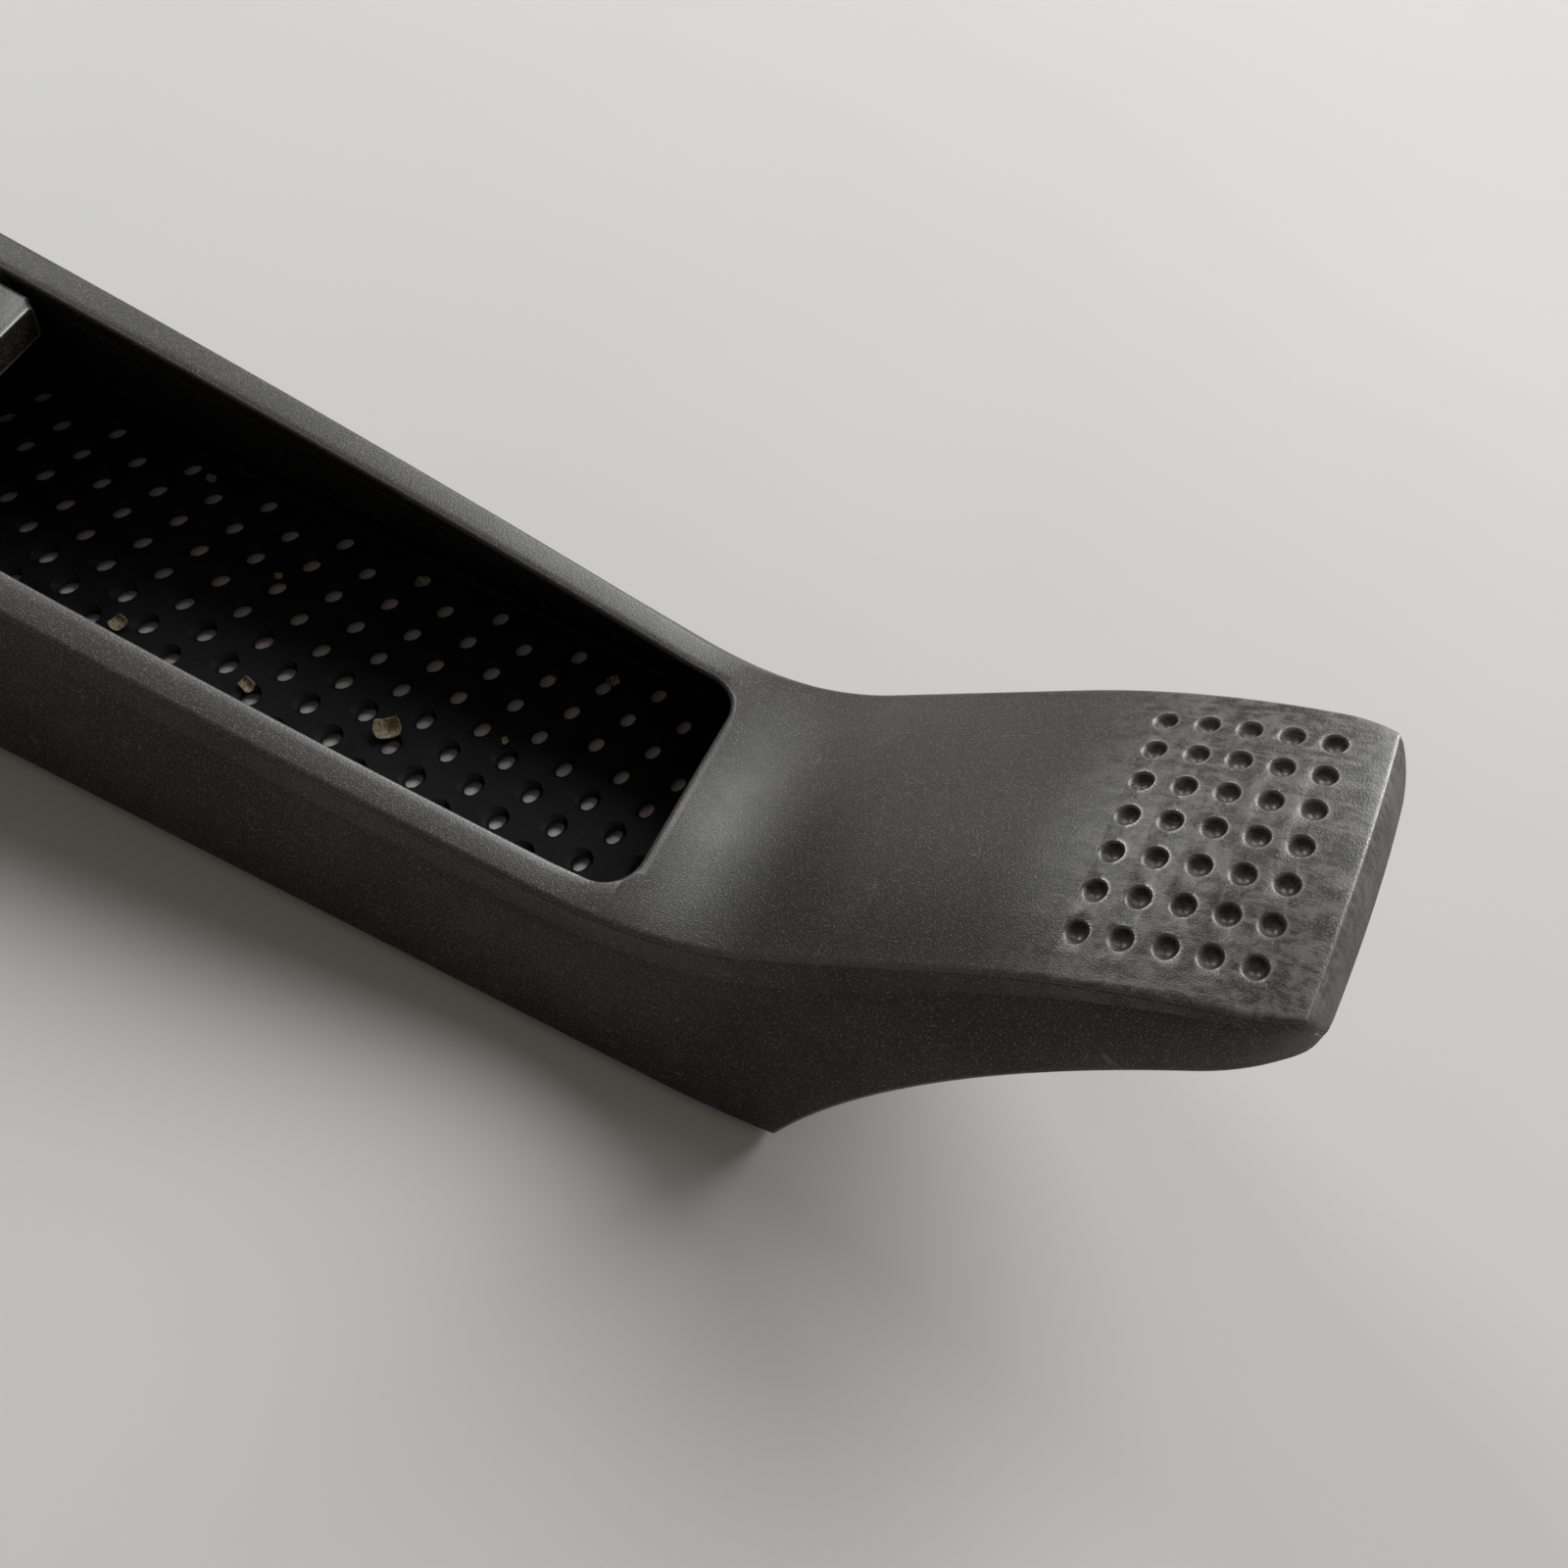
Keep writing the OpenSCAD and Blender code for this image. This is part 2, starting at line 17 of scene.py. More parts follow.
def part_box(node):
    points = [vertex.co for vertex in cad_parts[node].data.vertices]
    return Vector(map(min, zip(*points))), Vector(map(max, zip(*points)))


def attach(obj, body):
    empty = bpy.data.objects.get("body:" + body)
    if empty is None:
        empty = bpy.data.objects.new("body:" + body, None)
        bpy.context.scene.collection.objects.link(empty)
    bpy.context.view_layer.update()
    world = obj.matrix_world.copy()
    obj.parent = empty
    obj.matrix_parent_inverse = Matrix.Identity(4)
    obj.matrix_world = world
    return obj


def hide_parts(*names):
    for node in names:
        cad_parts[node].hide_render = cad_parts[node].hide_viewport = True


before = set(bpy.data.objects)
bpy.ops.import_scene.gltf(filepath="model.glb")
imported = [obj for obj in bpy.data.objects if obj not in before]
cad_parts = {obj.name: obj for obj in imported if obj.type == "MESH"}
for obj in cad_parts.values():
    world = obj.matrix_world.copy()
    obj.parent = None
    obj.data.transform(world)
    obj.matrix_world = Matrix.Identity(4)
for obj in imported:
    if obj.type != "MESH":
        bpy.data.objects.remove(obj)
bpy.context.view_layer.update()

# %% [markdown]
# Blender works in metres, and the numbers of this tool are easier to read in millimetres. Every new piece
# is therefore modelled in millimetres along the tool's own marks, and one helper moves and scales the
# finished mesh to the frame. The object itself stays at the origin, so that patterns on Object
# coordinates stay put.

# %% Units and the shared mark
MM = 0.001
TIP_X = 67.4                 # the toe's tip, counted from the shared mark
TIP_END = TIP_X - 0.02       # the last outline stops a hair before the tip
MID_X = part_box("body_casting")[1].x / MM - TIP_END
random.seed(7)
print("X of the shared mark in the frame:", round(MID_X, 3), "mm")

# %% [markdown]
# The outline of the casting is a handful of curves. From the heel the rails run level, then they fall
# gently towards the toe. A round valley turns them upwards, a straight slope follows, and a large crest
# arc flattens the tip. Only the radii and angles are chosen. The arcs' centres, and the marks where one
# curve meets the next, follow from them, so the curves stay smooth when a radius changes.

# %% Marks of the casting
HEEL_X, PROW_X = -234.0, 32.4              # the rear end, and where the toe leaves the sole
RAIL_H, WAIST_H = 29.5, 16.15              # the rails' height at the rear, and at the valley
RAIL_ANGLE, TOE_SLOPE = math.radians(6.2), math.radians(42)
KNEE_BLEND = 0.64                          # softens the knee where the rails begin to fall
VALLEY_X, VALLEY_R, SLOPE_RUN, CREST_R = 3.0, 27.0, 16.0, 80.0
UNDER_R, PROW_ANGLE, SOLE_Z = 70.0, math.radians(76), 1.0
HEEL_TOP_L, HEEL_TOP_H = 14, 9             # rounding of the heel's top
HEEL_SIDE_L, HEEL_SIDE_W = 5, 4.9          # rounding of the heel's two sides
TIP_L, TIP_W = 7.5, 4.4                    # length and inset of the tip's rounded corners
NOSE_L, NOSE_H, NOSE_POWER = 3.2, 5.4, 1.3  # slanted face at the very front

VALLEY_CX = VALLEY_X + VALLEY_R * math.sin(RAIL_ANGLE)
VALLEY_CZ = WAIST_H + VALLEY_R * math.cos(RAIL_ANGLE)
SLOPE_X0 = VALLEY_CX + VALLEY_R * math.sin(TOE_SLOPE)
SLOPE_Z0 = VALLEY_CZ - VALLEY_R * math.cos(TOE_SLOPE)
SLOPE_X1 = SLOPE_X0 + SLOPE_RUN
SLOPE_Z1 = SLOPE_Z0 + SLOPE_RUN * math.tan(TOE_SLOPE)
CREST_CX = SLOPE_X1 + CREST_R * math.sin(TOE_SLOPE)
CREST_CZ = SLOPE_Z1 - CREST_R * math.cos(TOE_SLOPE)
UNDER_CX = PROW_X + UNDER_R * math.sin(PROW_ANGLE)
UNDER_CZ = SOLE_Z - UNDER_R * math.cos(PROW_ANGLE)
print("straight slope from X", round(SLOPE_X0, 2), "to", round(SLOPE_X1, 2))

# %% [markdown]
# Each curve becomes a small function. Every piece can then ask for the height at any X, and the handle's
# foot or a dimple follows the rails without a copy of their numbers.

# %% Heights along the tool
def quarter(u):
    """Fall of a quarter circle, from 0 at u = 0 to 1 at u = 1."""
    return 1 - math.sqrt(max(0.0, 1 - min(1.0, max(0.0, u)) ** 2))


def top_z(x):
    """Height of the rails and of the toe's edge."""
    if x < VALLEY_X:
        falling = -(WAIST_H + (VALLEY_X - x) * math.tan(RAIL_ANGLE))
        level = -RAIL_H
        rail = -(level + falling + math.sqrt((level - falling) ** 2 + KNEE_BLEND)) / 2
        return rail - HEEL_TOP_H * quarter((HEEL_X + HEEL_TOP_L - x) / HEEL_TOP_L)
    if x < SLOPE_X0:
        return VALLEY_CZ - math.sqrt(VALLEY_R ** 2 - (x - VALLEY_CX) ** 2)
    if x < SLOPE_X1:
        return SLOPE_Z0 + (x - SLOPE_X0) * math.tan(TOE_SLOPE)
    nose = NOSE_H * max(0, (x - TIP_X + NOSE_L) / NOSE_L) ** NOSE_POWER
    return CREST_CZ + math.sqrt(CREST_R ** 2 - (x - CREST_CX) ** 2) - nose


def top_tilt(x):
    """Slope of the toe's top in radians."""
    return TOE_SLOPE if x < SLOPE_X1 else math.asin((CREST_CX - x) / CREST_R)


def low_z(x):
    """Height of the lower edge: flat sole, then the hollow under the toe."""
    return SOLE_Z if x < PROW_X else UNDER_CZ + math.sqrt(UNDER_R ** 2 - (x - UNDER_CX) ** 2)


print("heights at heel, valley and tip:", [round(top_z(x), 2) for x in (HEEL_X, VALLEY_X, TIP_END)])

# %% [markdown]
# Seen from above, the walls lean inwards and the rails draw together towards the toe. At the prow the
# lower edge comes in by a little more than half a millimetre, and it does so over a dozen millimetres,
# because a sudden step would show as a crease in the painted side.

# %% Widths along the tool
RAIL_HW, TAPER, TAPER_X0, TAPER_X1 = 18.8, 2.2, -70, 10    # rails' outer edges and their taper
TOE_HW, TOE_TAPER, TOE_FOOT = 16.6, 0.025, 0.4
SOLE_HW, PROW_IN, PROW_EASE_X, PROW_TAPER = 22.8, 0.6, 20, 0.2
CROWN_H, CROWN_L, CROWN_FADE_X, CROWN_FADE_L = 2.4, 25, 45, 40
RAIL_W, THIN, THIN_X, THIN_L = 4.1, 0.5, -60, 70           # the rails grow thinner to the front
SEAT_HW, SEAT_Z, CAVE_HW = 20.9, 4.65, 19.9                # step for the blade, and room above it


def tip_cut(x):
    return TIP_W * quarter((x - TIP_X + TIP_L) / TIP_L)


def heel_cut(x):
    return HEEL_SIDE_W * quarter((HEEL_X + HEEL_SIDE_L - x) / HEEL_SIDE_L)


def top_hw(x):
    """Half width over the rails' outer edges."""
    if x < TAPER_X0:
        return RAIL_HW - heel_cut(x)
    if x < TAPER_X1:
        return RAIL_HW - TAPER * ((x - TAPER_X0) / (TAPER_X1 - TAPER_X0)) ** 2
    return TOE_HW - TOE_TAPER * (x - TAPER_X1) - tip_cut(x)


def low_hw(x):
    """Half width at the lower edge."""
    if x < PROW_X:
        eased = max(0, (x - PROW_EASE_X) / (PROW_X - PROW_EASE_X)) ** 2
        return SOLE_HW - heel_cut(x) - PROW_IN * eased
    return max(top_hw(x) + TOE_FOOT, SOLE_HW - PROW_IN - PROW_TAPER * (x - PROW_X) - tip_cut(x))


def crown_z(x):
    """Rise of the toe's middle above its edges."""
    grown = min(1, max(0, (x - VALLEY_X) / CROWN_L))
    return CROWN_H * grown * (1 - max(0, x - CROWN_FADE_X) / CROWN_FADE_L)


def rail_in(x):
    """Half width between the rails' inner edges."""
    return top_hw(x) - RAIL_W + THIN * max(0, (x - THIN_X) / THIN_L)


def wall_in(x, z):
    """Half width inside the walls at a height."""
    return CAVE_HW + (rail_in(x) - CAVE_HW) * (z - SEAT_Z) / (top_z(x) - SEAT_Z)


print("half widths at the valley:", round(rail_in(VALLEY_X), 2), round(top_hw(VALLEY_X), 2),
      round(low_hw(VALLEY_X), 2))

# %% [markdown]
# Most of the shapes here are lofts: a row of outlines joined by a skin. Blender has no loft operator, but
# a flat grid can be wrapped round the outlines. Each grid line becomes one outline, the seam is merged,
# and the two ends are filled. The same helper serves the casting, its hollows, the handle and the blade.

# %% Loft a skin over outlines
MERGE = 1e-5


def loft(rings, ends=True):
    """Wraps a grid round outlines that all have the same number of points."""
    around, along = len(rings[0]), len(rings)
    bm = bmesh.new()
    bmesh.ops.create_grid(bm, x_segments=along - 1, y_segments=around, size=1)
    for v in bm.verts:
        i = round((v.co.x + 1) / 2 * (along - 1))
        j = round((v.co.y + 1) / 2 * around) % around
        v.co = rings[i][j]
    bmesh.ops.remove_doubles(bm, verts=bm.verts, dist=MERGE)
    if ends:
        bmesh.ops.holes_fill(bm, edges=[e for e in bm.edges if e.is_boundary], sides=0)
    bmesh.ops.recalc_face_normals(bm, faces=bm.faces)
    return bm


sample = loft([[(x, 0, 0), (x, 1, 0), (x, 1, 1), (x, 0, 1)] for x in (0, 1)])
print("two squares lofted to a cube:", len(sample.faces), "faces")
sample.free()

# %% [markdown]
# ## The frame casting
# The casting began as a solid block in the pattern maker's shop, and it can begin that way here too. Each
# cross section starts at the lower edge of the left side, climbs the slightly bowed wall, rounds the
# rail's outer edge, crosses the crowned top and comes down the other side.

# %% Cross sections
EDGE_R = 0.7                                         # rounding of the rails' outer edge
LOW_CORNER = ((0.5, 0), (0.15, 0.12), (0, 0.6))      # inset and rise of the lower edge's rounding
WALL_STEPS, WALL_BOW = (0.12, 0.25, 0.38, 0.5, 0.62, 0.75, 0.86), 1.5
TOP_STEPS = (0.85, 0.65, 0.45, 0.25)
FINE_ARC, COARSE_ARC = (0, 22, 45, 68, 90), (0, 30, 60, 90)


def rounded(y, z, r, angles):
    """Points round an outer corner, from its wall to its top."""
    return [(y - r * (1 - math.cos(math.radians(a))), z - r * (1 - math.sin(math.radians(a))))
            for a in angles]


def crowned(x, y):
    """Rise of the top above its edge at a place across the toe."""
    return crown_z(x) * (1 - (y / max(1, top_hw(x) - EDGE_R)) ** 2)


def half_section(x):
    tz, lz, tw, lw = top_z(x), low_z(x), top_hw(x), low_hw(x)
    points = [(lw - inset, lz + rise) for inset, rise in LOW_CORNER]
    points += [(lw + (tw - lw) * s ** WALL_BOW, lz + (tz - lz) * s) for s in WALL_STEPS]
    points += rounded(tw, tz, EDGE_R, FINE_ARC)
    return points + [(tw * f, tz + crowned(x, tw * f)) for f in TOP_STEPS]


def full_section(x):
    half = half_section(x)
    left = [(x, y, z) for y, z in half]
    right = [(x, -y, z) for y, z in reversed(half)]
    return left + [(x, 0, top_z(x) + crown_z(x))] + right


print("points in a cross section:", len(full_section(0)))

# %% [markdown]
# The sections stand close together where the outline turns, at the heel, the knee, the prow and the tip,
# and far apart where it runs straight. Even spacing would either waste faces or leave the tip angular.

# %% The solid block
KNEE_X0, KNEE_X1 = -128, -108        # the rails' knee lies between these


def steps(a, b, step):
    """Evenly spaced values from a up to, but not including, b."""
    count = max(1, round((b - a) / step))
    return [a + (b - a) * i / count for i in range(count)]


def as_object(bm, name):
    """Makes a plain object from a bmesh and frees it."""
    mesh = bpy.data.meshes.new(name)
    bm.to_mesh(mesh)
    bm.free()
    obj = bpy.data.objects.new(name, mesh)
    bpy.context.scene.collection.objects.link(obj)
    return obj


stations = [HEEL_X + HEEL_SIDE_L * (1 - math.cos(math.radians(a))) for a in range(0, 80, 11)]
stations += [HEEL_X + HEEL_TOP_L * (1 - math.cos(math.radians(a))) for a in range(52, 91, 7)]
stations += steps(-215, KNEE_X0, 8) + steps(KNEE_X0, KNEE_X1, 2) + steps(KNEE_X1, 0, 4) + steps(0, 31, 1)
stations += [PROW_X + ahead for ahead in (-0.8, -0.02, 0.2, 0.6, 1.2, 2, 3)]
stations += steps(PROW_X + 4, TIP_X - TIP_L, 1)
stations += [TIP_X - TIP_L * (1 - math.sin(math.radians(a))) for a in range(0, 89, 6)] + [TIP_END]
casting = as_object(loft([full_section(x) for x in stations]), "frame_casting")
print("block:", len(stations), "sections,", len(casting.data.vertices), "vertices")

# %% [markdown]
# The block is now hollowed with the same cuts that the cores of the mould make. The first is the step in
# which the blade sits. A Boolean modifier makes each cut and is applied at once, so that the next cut
# starts from a plain mesh.

# %% Seat of the blade
SEAT_FRONT, HEEL_WALL = 29.4, 5


def combine(body, tool_bm, operation="DIFFERENCE"):
    """Cuts a tool shape out of a body, or joins it on, with the Boolean modifier, and applies it."""
    tool = as_object(tool_bm, "tool")
    step = body.modifiers.new("step", "BOOLEAN")
    step.operation, step.solver, step.object = operation, "MANIFOLD", tool
    depsgraph = bpy.context.evaluated_depsgraph_get()
    made = bpy.data.meshes.new_from_object(body.evaluated_get(depsgraph))
    body.modifiers.clear()
    old, body.data = body.data, made
    old_tool = tool.data
    bpy.data.objects.remove(tool)
    for mesh in (old, old_tool):
        bpy.data.meshes.remove(mesh)


def box_tool(low, high):
    """A box between two corners."""
    bm = bmesh.new()
    bmesh.ops.create_cube(bm, size=1)
    bmesh.ops.scale(bm, vec=Vector(high) - Vector(low), verts=bm.verts)
    bmesh.ops.translate(bm, vec=(Vector(low) + Vector(high)) / 2, verts=bm.verts)
    return bm


combine(casting, box_tool((HEEL_X + HEEL_WALL, -SEAT_HW, -1), (SEAT_FRONT, SEAT_HW, SEAT_Z)))
print("seat cut:", len(casting.data.polygons), "faces")

# %% [markdown]
# The room above the blade runs the whole length. It is low under the deck that carries the handle, and
# follows the rails in front of it. Its walls lean like the outer ones, so the metal is equally thick.

# %% Room above the blade
DECK_X, DECK_UNDER, ROOF = -77.4, 15.6, 3.4        # deck's front edge and underside, metal over the room

room = []
for x in ([HEEL_X + HEEL_WALL, -160, -118, -90, DECK_X - 0.02, DECK_X] + steps(-74, 0, 6)
          + steps(0, SEAT_FRONT, 2) + [SEAT_FRONT]):
    top = DECK_UNDER if x < DECK_X - 0.01 else top_z(x) - ROOF
    half = [(CAVE_HW, SEAT_Z - 0.5), (CAVE_HW, SEAT_Z), (wall_in(x, top), top)]
    room.append([(x, y, z) for y, z in half] + [(x, -y, z) for y, z in reversed(half)])
combine(casting, loft(room))
print("room cut:", len(casting.data.polygons), "faces")

# %% [markdown]
# The window is the long opening between the rails, with rounded corners at its front. Its tool shape
# flares at the top, so the cut leaves a small rounded edge by itself. A Bevel modifier would do that too,
# but it trips over the short edges that a Boolean leaves.

# %% Window
WINDOW_FRONT, WINDOW_R, WINDOW_DROP = 9.9, 4.0, 4.4
WINDOW_REAR = DECK_X - 0.5
FLARE = ((-0.5, 0.0), (-0.22, 0.06), (-0.08, 0.16), (0.02, 0.34), (3, 3.3))    # rise, and way outwards


def flared(outline, floor_at):
    """Tool for an opening in the top. outline has x, y and the outward direction of each point."""
    rings = [[floor_at(x, y, nx, ny) for x, y, nx, ny in outline]]
    for rise, out in FLARE:
        rings.append([(x + nx * out, y + ny * out, top_z(x) + max(0, crowned(x, y)) + rise)
                      for x, y, nx, ny in outline])
    return loft(rings)


def window_floor(x, y, nx, ny):
    """The window's walls lean outwards below the rails, in line with the room's walls."""
    lean = (wall_in(x, top_z(x) - WINDOW_DROP) - rail_in(x)) + 0.02
    return (x, y + ny * lean, top_z(x) - WINDOW_DROP)


corner_x = WINDOW_FRONT - WINDOW_R
side = [(x, rail_in(x), 0, 1) for x in [WINDOW_REAR] + steps(-76, corner_x, 3)]
for a in range(0, 91, 10):
    along, across = math.sin(math.radians(a)), math.cos(math.radians(a))
    side.append((corner_x + WINDOW_R * along, rail_in(corner_x) - WINDOW_R + WINDOW_R * across,
                 along, across))
front = [(WINDOW_FRONT, y, 1, 0) for y in (6, 3, 0, -3, -6)]
rear = [(WINDOW_REAR, y, 0, 0) for y in (-10, -5, 0, 5, 10)]
window = side + front + [(x, -y, nx, -ny) for x, y, nx, ny in reversed(side)] + rear
combine(casting, flared(window, window_floor))
print("window cut:", len(casting.data.polygons), "faces")

# %% [markdown]
# Behind the window the handle's long foot lies in a shallow recess between the rails. The same flared tool
# makes it, with a level floor, and a small gap is left all round the foot.

# %% Recess for the handle's foot
FOOT_HW, FOOT_REAR, DECK_Z = 14.1, -212, 18.6
FOOT_SIDE_GAP, FOOT_END_GAP = 0.3, 0.4

side = [(x, FOOT_HW + FOOT_SIDE_GAP, 0, 1)
        for x in [FOOT_REAR - FOOT_END_GAP, -160, -124, -118, -112, -90, DECK_X + 0.01]]
recess = side + [(x, -y, nx, -ny) for x, y, nx, ny in reversed(side)]
combine(casting, flared(recess, lambda x, y, nx, ny: (x, y, DECK_Z)))
print("recess cut:", len(casting.data.polygons), "faces")

# %% [markdown]
# A casting is hollow wherever it can be, because thick metal cools badly. Two pockets open downwards under
# the toe, with a web left standing between them.

# %% Pockets under the toe
WEB_HW, POCKET_LOW_WALL, POCKET_TOP_WALL, POCKET_ROOF, BELOW = 1.6, 3.2, 3, 4.2, 12

for s in (1, -1):
    pocket = []
    for x in steps(PROW_X + 7, TIP_X - 8, 2):
        low, high = low_z(x) - BELOW, top_z(x) - POCKET_ROOF
        pocket.append([(x, WEB_HW * s, low), (x, (low_hw(x) - POCKET_LOW_WALL) * s, low),
                       (x, (top_hw(x) - POCKET_TOP_WALL) * s, high), (x, WEB_HW * s, high)])
    combine(casting, loft(pocket))
print("pockets cut:", len(casting.data.polygons), "faces")

# %% [markdown]
# Holes let the two handle screws and the tension screw through. A cross bar at the front holds the
# blade's lip, and two guides keep the slider straight, so these are joined on in place of being cut.

# %% Holes, cross bar and guides
SCREWS_X, AXIS_Z, HOLE_SIDES = (-92, -198), 10.5, 48
DECK_HOLE_R, HEEL_HOLE_R, THREAD_R = 2.8, 3.0, 2.5
BAR_LOW, BAR_HIGH = (23.3, -21.2, 1.35), (28.25, 21.2, 9)
GUIDE_Y, GUIDE_LOW, GUIDE_HIGH = 12.1, (-225.25, -1, 8.5), (-205.25, 1, 15.9)


def bar(radius, centre, direction, length, segments):
    """A round bar that starts at a point."""
    bm = bmesh.new()
    way = Vector(direction)
    turn = Vector((0, 0, 1)).rotation_difference(way).to_matrix().to_4x4()
    bmesh.ops.create_cone(bm, cap_ends=True, segments=segments, radius1=radius, radius2=radius,
                          depth=length, matrix=Matrix.Translation(Vector(centre) + way * length / 2) @ turn)
    return bm


for x in SCREWS_X:
    combine(casting, bar(DECK_HOLE_R, (x, 0, DECK_UNDER - 1), (0, 0, 1), 5, HOLE_SIDES))
combine(casting, bar(HEEL_HOLE_R, (HEEL_X - 1, 0, AXIS_Z), (1, 0, 0), HEEL_WALL + 2, HOLE_SIDES))
combine(casting, box_tool(BAR_LOW, BAR_HIGH), "UNION")
for s in (1, -1):
    across = Vector((0, s * GUIDE_Y, 0))
    combine(casting, box_tool(Vector(GUIDE_LOW) + across, Vector(GUIDE_HIGH) + across), "UNION")
print("hollowed:", len(casting.data.polygons), "faces")

# %% [markdown]
# ### Thumb dimples
# Seven rows of five small round hollows keep the thumb from slipping. One dimple is a profile spun round
# its own axis, with a soft lip at the rim. It is copied to each place, tilted with the slope, and all of
# them are cut in one go.

# %% Cut the dimples
DIMPLE_X, DIMPLE_DX, DIMPLE_DY, DIMPLE_SIDES = 47.3, 3.15, 3.76, 24
DIMPLE = [(0, -1.0), (0.35, -0.95), (0.62, -0.78), (0.85, -0.45), (0.98, -0.2), (1.12, -0.04),
          (1.42, 0.09), (1.5, 0.5), (0, 0.5)]          # radius and height


def spun(profile, segments):
    """Spins a profile of radius and height round Z and closes its poles."""
    bm = bmesh.new()
    line = [bm.verts.new((r, 0, z)) for r, z in profile]
    edges = [bm.edges.new(pair) for pair in zip(line, line[1:])]
    bmesh.ops.spin(bm, geom=line + edges, cent=(0, 0, 0), axis=(0, 0, 1), angle=math.tau,
                   steps=segments, use_merge=True)
    bmesh.ops.remove_doubles(bm, verts=bm.verts, dist=1e-4)
    bmesh.ops.recalc_face_normals(bm, faces=bm.faces)
    return bm


def repeated(bm, places):
    """Copies a shape to every place and returns one bmesh."""
    shape = bpy.data.meshes.new("shape")
    bm.to_mesh(shape)
    bm.free()
    out = bmesh.new()
    for place in places:
        before = len(out.verts)
        out.from_mesh(shape)
        out.verts.ensure_lookup_table()
        bmesh.ops.transform(out, matrix=place, verts=out.verts[before:])
    bpy.data.meshes.remove(shape)
    return out


dimple_places = []
for i in range(5):
    for j in range(-3, 4):
        x, y = DIMPLE_X + i * DIMPLE_DX, j * DIMPLE_DY
        roll = math.atan(2 * crown_z(x) * y / top_hw(x) ** 2)
        dimple_places.append(Matrix.Translation((x, y, top_z(x) + crowned(x, y)))
                             @ Matrix.Rotation(-top_tilt(x), 4, "Y") @ Matrix.Rotation(-roll, 4, "X"))
combine(casting, repeated(spun(DIMPLE, DIMPLE_SIDES), dimple_places))
print(len(dimple_places), "dimples")

# %% [markdown]
# The casting is whole. It moves from millimetres to the frame's metres, its faces are shaded smooth with
# sharp edges kept, and it rides on the frame body in place of the CAD piece.

# %% The casting joins the frame
def settle(obj, body, stands_for, sharp):
    """Moves a finished piece from millimetres to the frame, smooths it and lets it ride on its body."""
    obj.data.transform(Matrix.Scale(MM, 4) @ Matrix.Translation((MID_X, 0, 0)))
    for polygon in obj.data.polygons:
        polygon.use_smooth = True
    obj.data.set_sharp_from_angle(angle=math.radians(sharp))
    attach(obj, body)
    if stands_for:
        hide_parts(*stands_for)
    print(obj.name, len(obj.data.polygons), "faces")


settle(casting, "frame", ["body_casting"], 34)

# %% [markdown]
# ## The rasp blade
# The blade is one strip of thin steel with its sides and ends turned up. It could be a flat strip with a
# Solidify modifier, but a folded section keeps the bends' inner and outer radius apart, so the section is
# drawn with its thickness and lofted along the tool.

# %% Fold the strip
BLADE_Z, SHEET, BEND_R, BLADE_HW = 0.6, 0.7, 1.1, 20.65
BLADE_FRONT, BLADE_REAR = 29.0, -225.0
STRIP_FRONT, STRIP_REAR = BLADE_FRONT - 6, BLADE_REAR + 3      # the side flanges end here
FLANGE_TOP, CHAMFER = BLADE_Z + 4, 0.12


def bend(centre, radius, angles, way=1):
    """Points round a bend of the sheet. way is -1 where it turns up on the other side."""
    return [(centre + way * radius * math.sin(math.radians(a)),
             BLADE_Z + BEND_R - radius * math.cos(math.radians(a))) for a in angles]


def channel(x):
    """Section of the folded strip: outside up the left flange, inside back down and across."""
    left = bend(BLADE_HW - BEND_R, BEND_R, FINE_ARC)
    left += [(BLADE_HW, FLANGE_TOP - CHAMFER), (BLADE_HW - CHAMFER, FLANGE_TOP),
             (BLADE_HW - SHEET + CHAMFER, FLANGE_TOP), (BLADE_HW - SHEET, FLANGE_TOP - CHAMFER)]
    left += bend(BLADE_HW - BEND_R, BEND_R - SHEET, (90, 45, 0))
    return [(x, y, z) for y, z in left] + [(x, -y, z) for y, z in reversed(left)]


blade = as_object(loft([channel(x) for x in (STRIP_REAR, -150, -75, 0, STRIP_FRONT)]), "perforated_blade")
print("strip:", len(blade.data.polygons), "faces")

# %% [markdown]
# Each end of the strip turns up as a narrower lip: the front one hooks over the cross bar, and the
# slider pulls on the rear one. A lip is the same bend again, lofted across the tool, and a flat plate
# fills the sheet between the lip and the strip.

# %% Turn up the ends
LIP_HW, LIP_ROOT, LIP_TOP, LIP_CHAMFER = BLADE_HW - 6, 7, 6.8, 0.1
PLATE_HW, OVERLAP = BLADE_HW - 1.4, 0.5

lip_section = [(LIP_ROOT, BLADE_Z)] + bend(BEND_R, BEND_R, COARSE_ARC, -1)
lip_section += [(0, LIP_TOP - LIP_CHAMFER), (LIP_CHAMFER, LIP_TOP), (SHEET - LIP_CHAMFER, LIP_TOP),
                (SHEET, LIP_TOP - LIP_CHAMFER)]
lip_section += bend(BEND_R, BEND_R - SHEET, (90, 45, 0), -1) + [(LIP_ROOT, BLADE_Z + SHEET)]
for x, s in ((BLADE_REAR, 1), (BLADE_FRONT, -1)):
    lip = [[(x + s * u, y, z) for u, z in lip_section] for y in (-LIP_HW, LIP_HW)]
    combine(blade, loft(lip), "UNION")
for x0, x1 in ((BLADE_REAR + BEND_R, STRIP_REAR + OVERLAP), (STRIP_FRONT - OVERLAP, BLADE_FRONT - BEND_R)):
    combine(blade, box_tool((x0, -PLATE_HW, BLADE_Z), (x1, PLATE_HW, BLADE_Z + SHEET)), "UNION")
print("with its ends:", len(blade.data.polygons), "faces")

# %% [markdown]
# The teeth stand in rows along the tool, and each row is shifted against its neighbour, so that together
# they cut the whole width of the wood. The list of places serves the openings and the teeth alike.

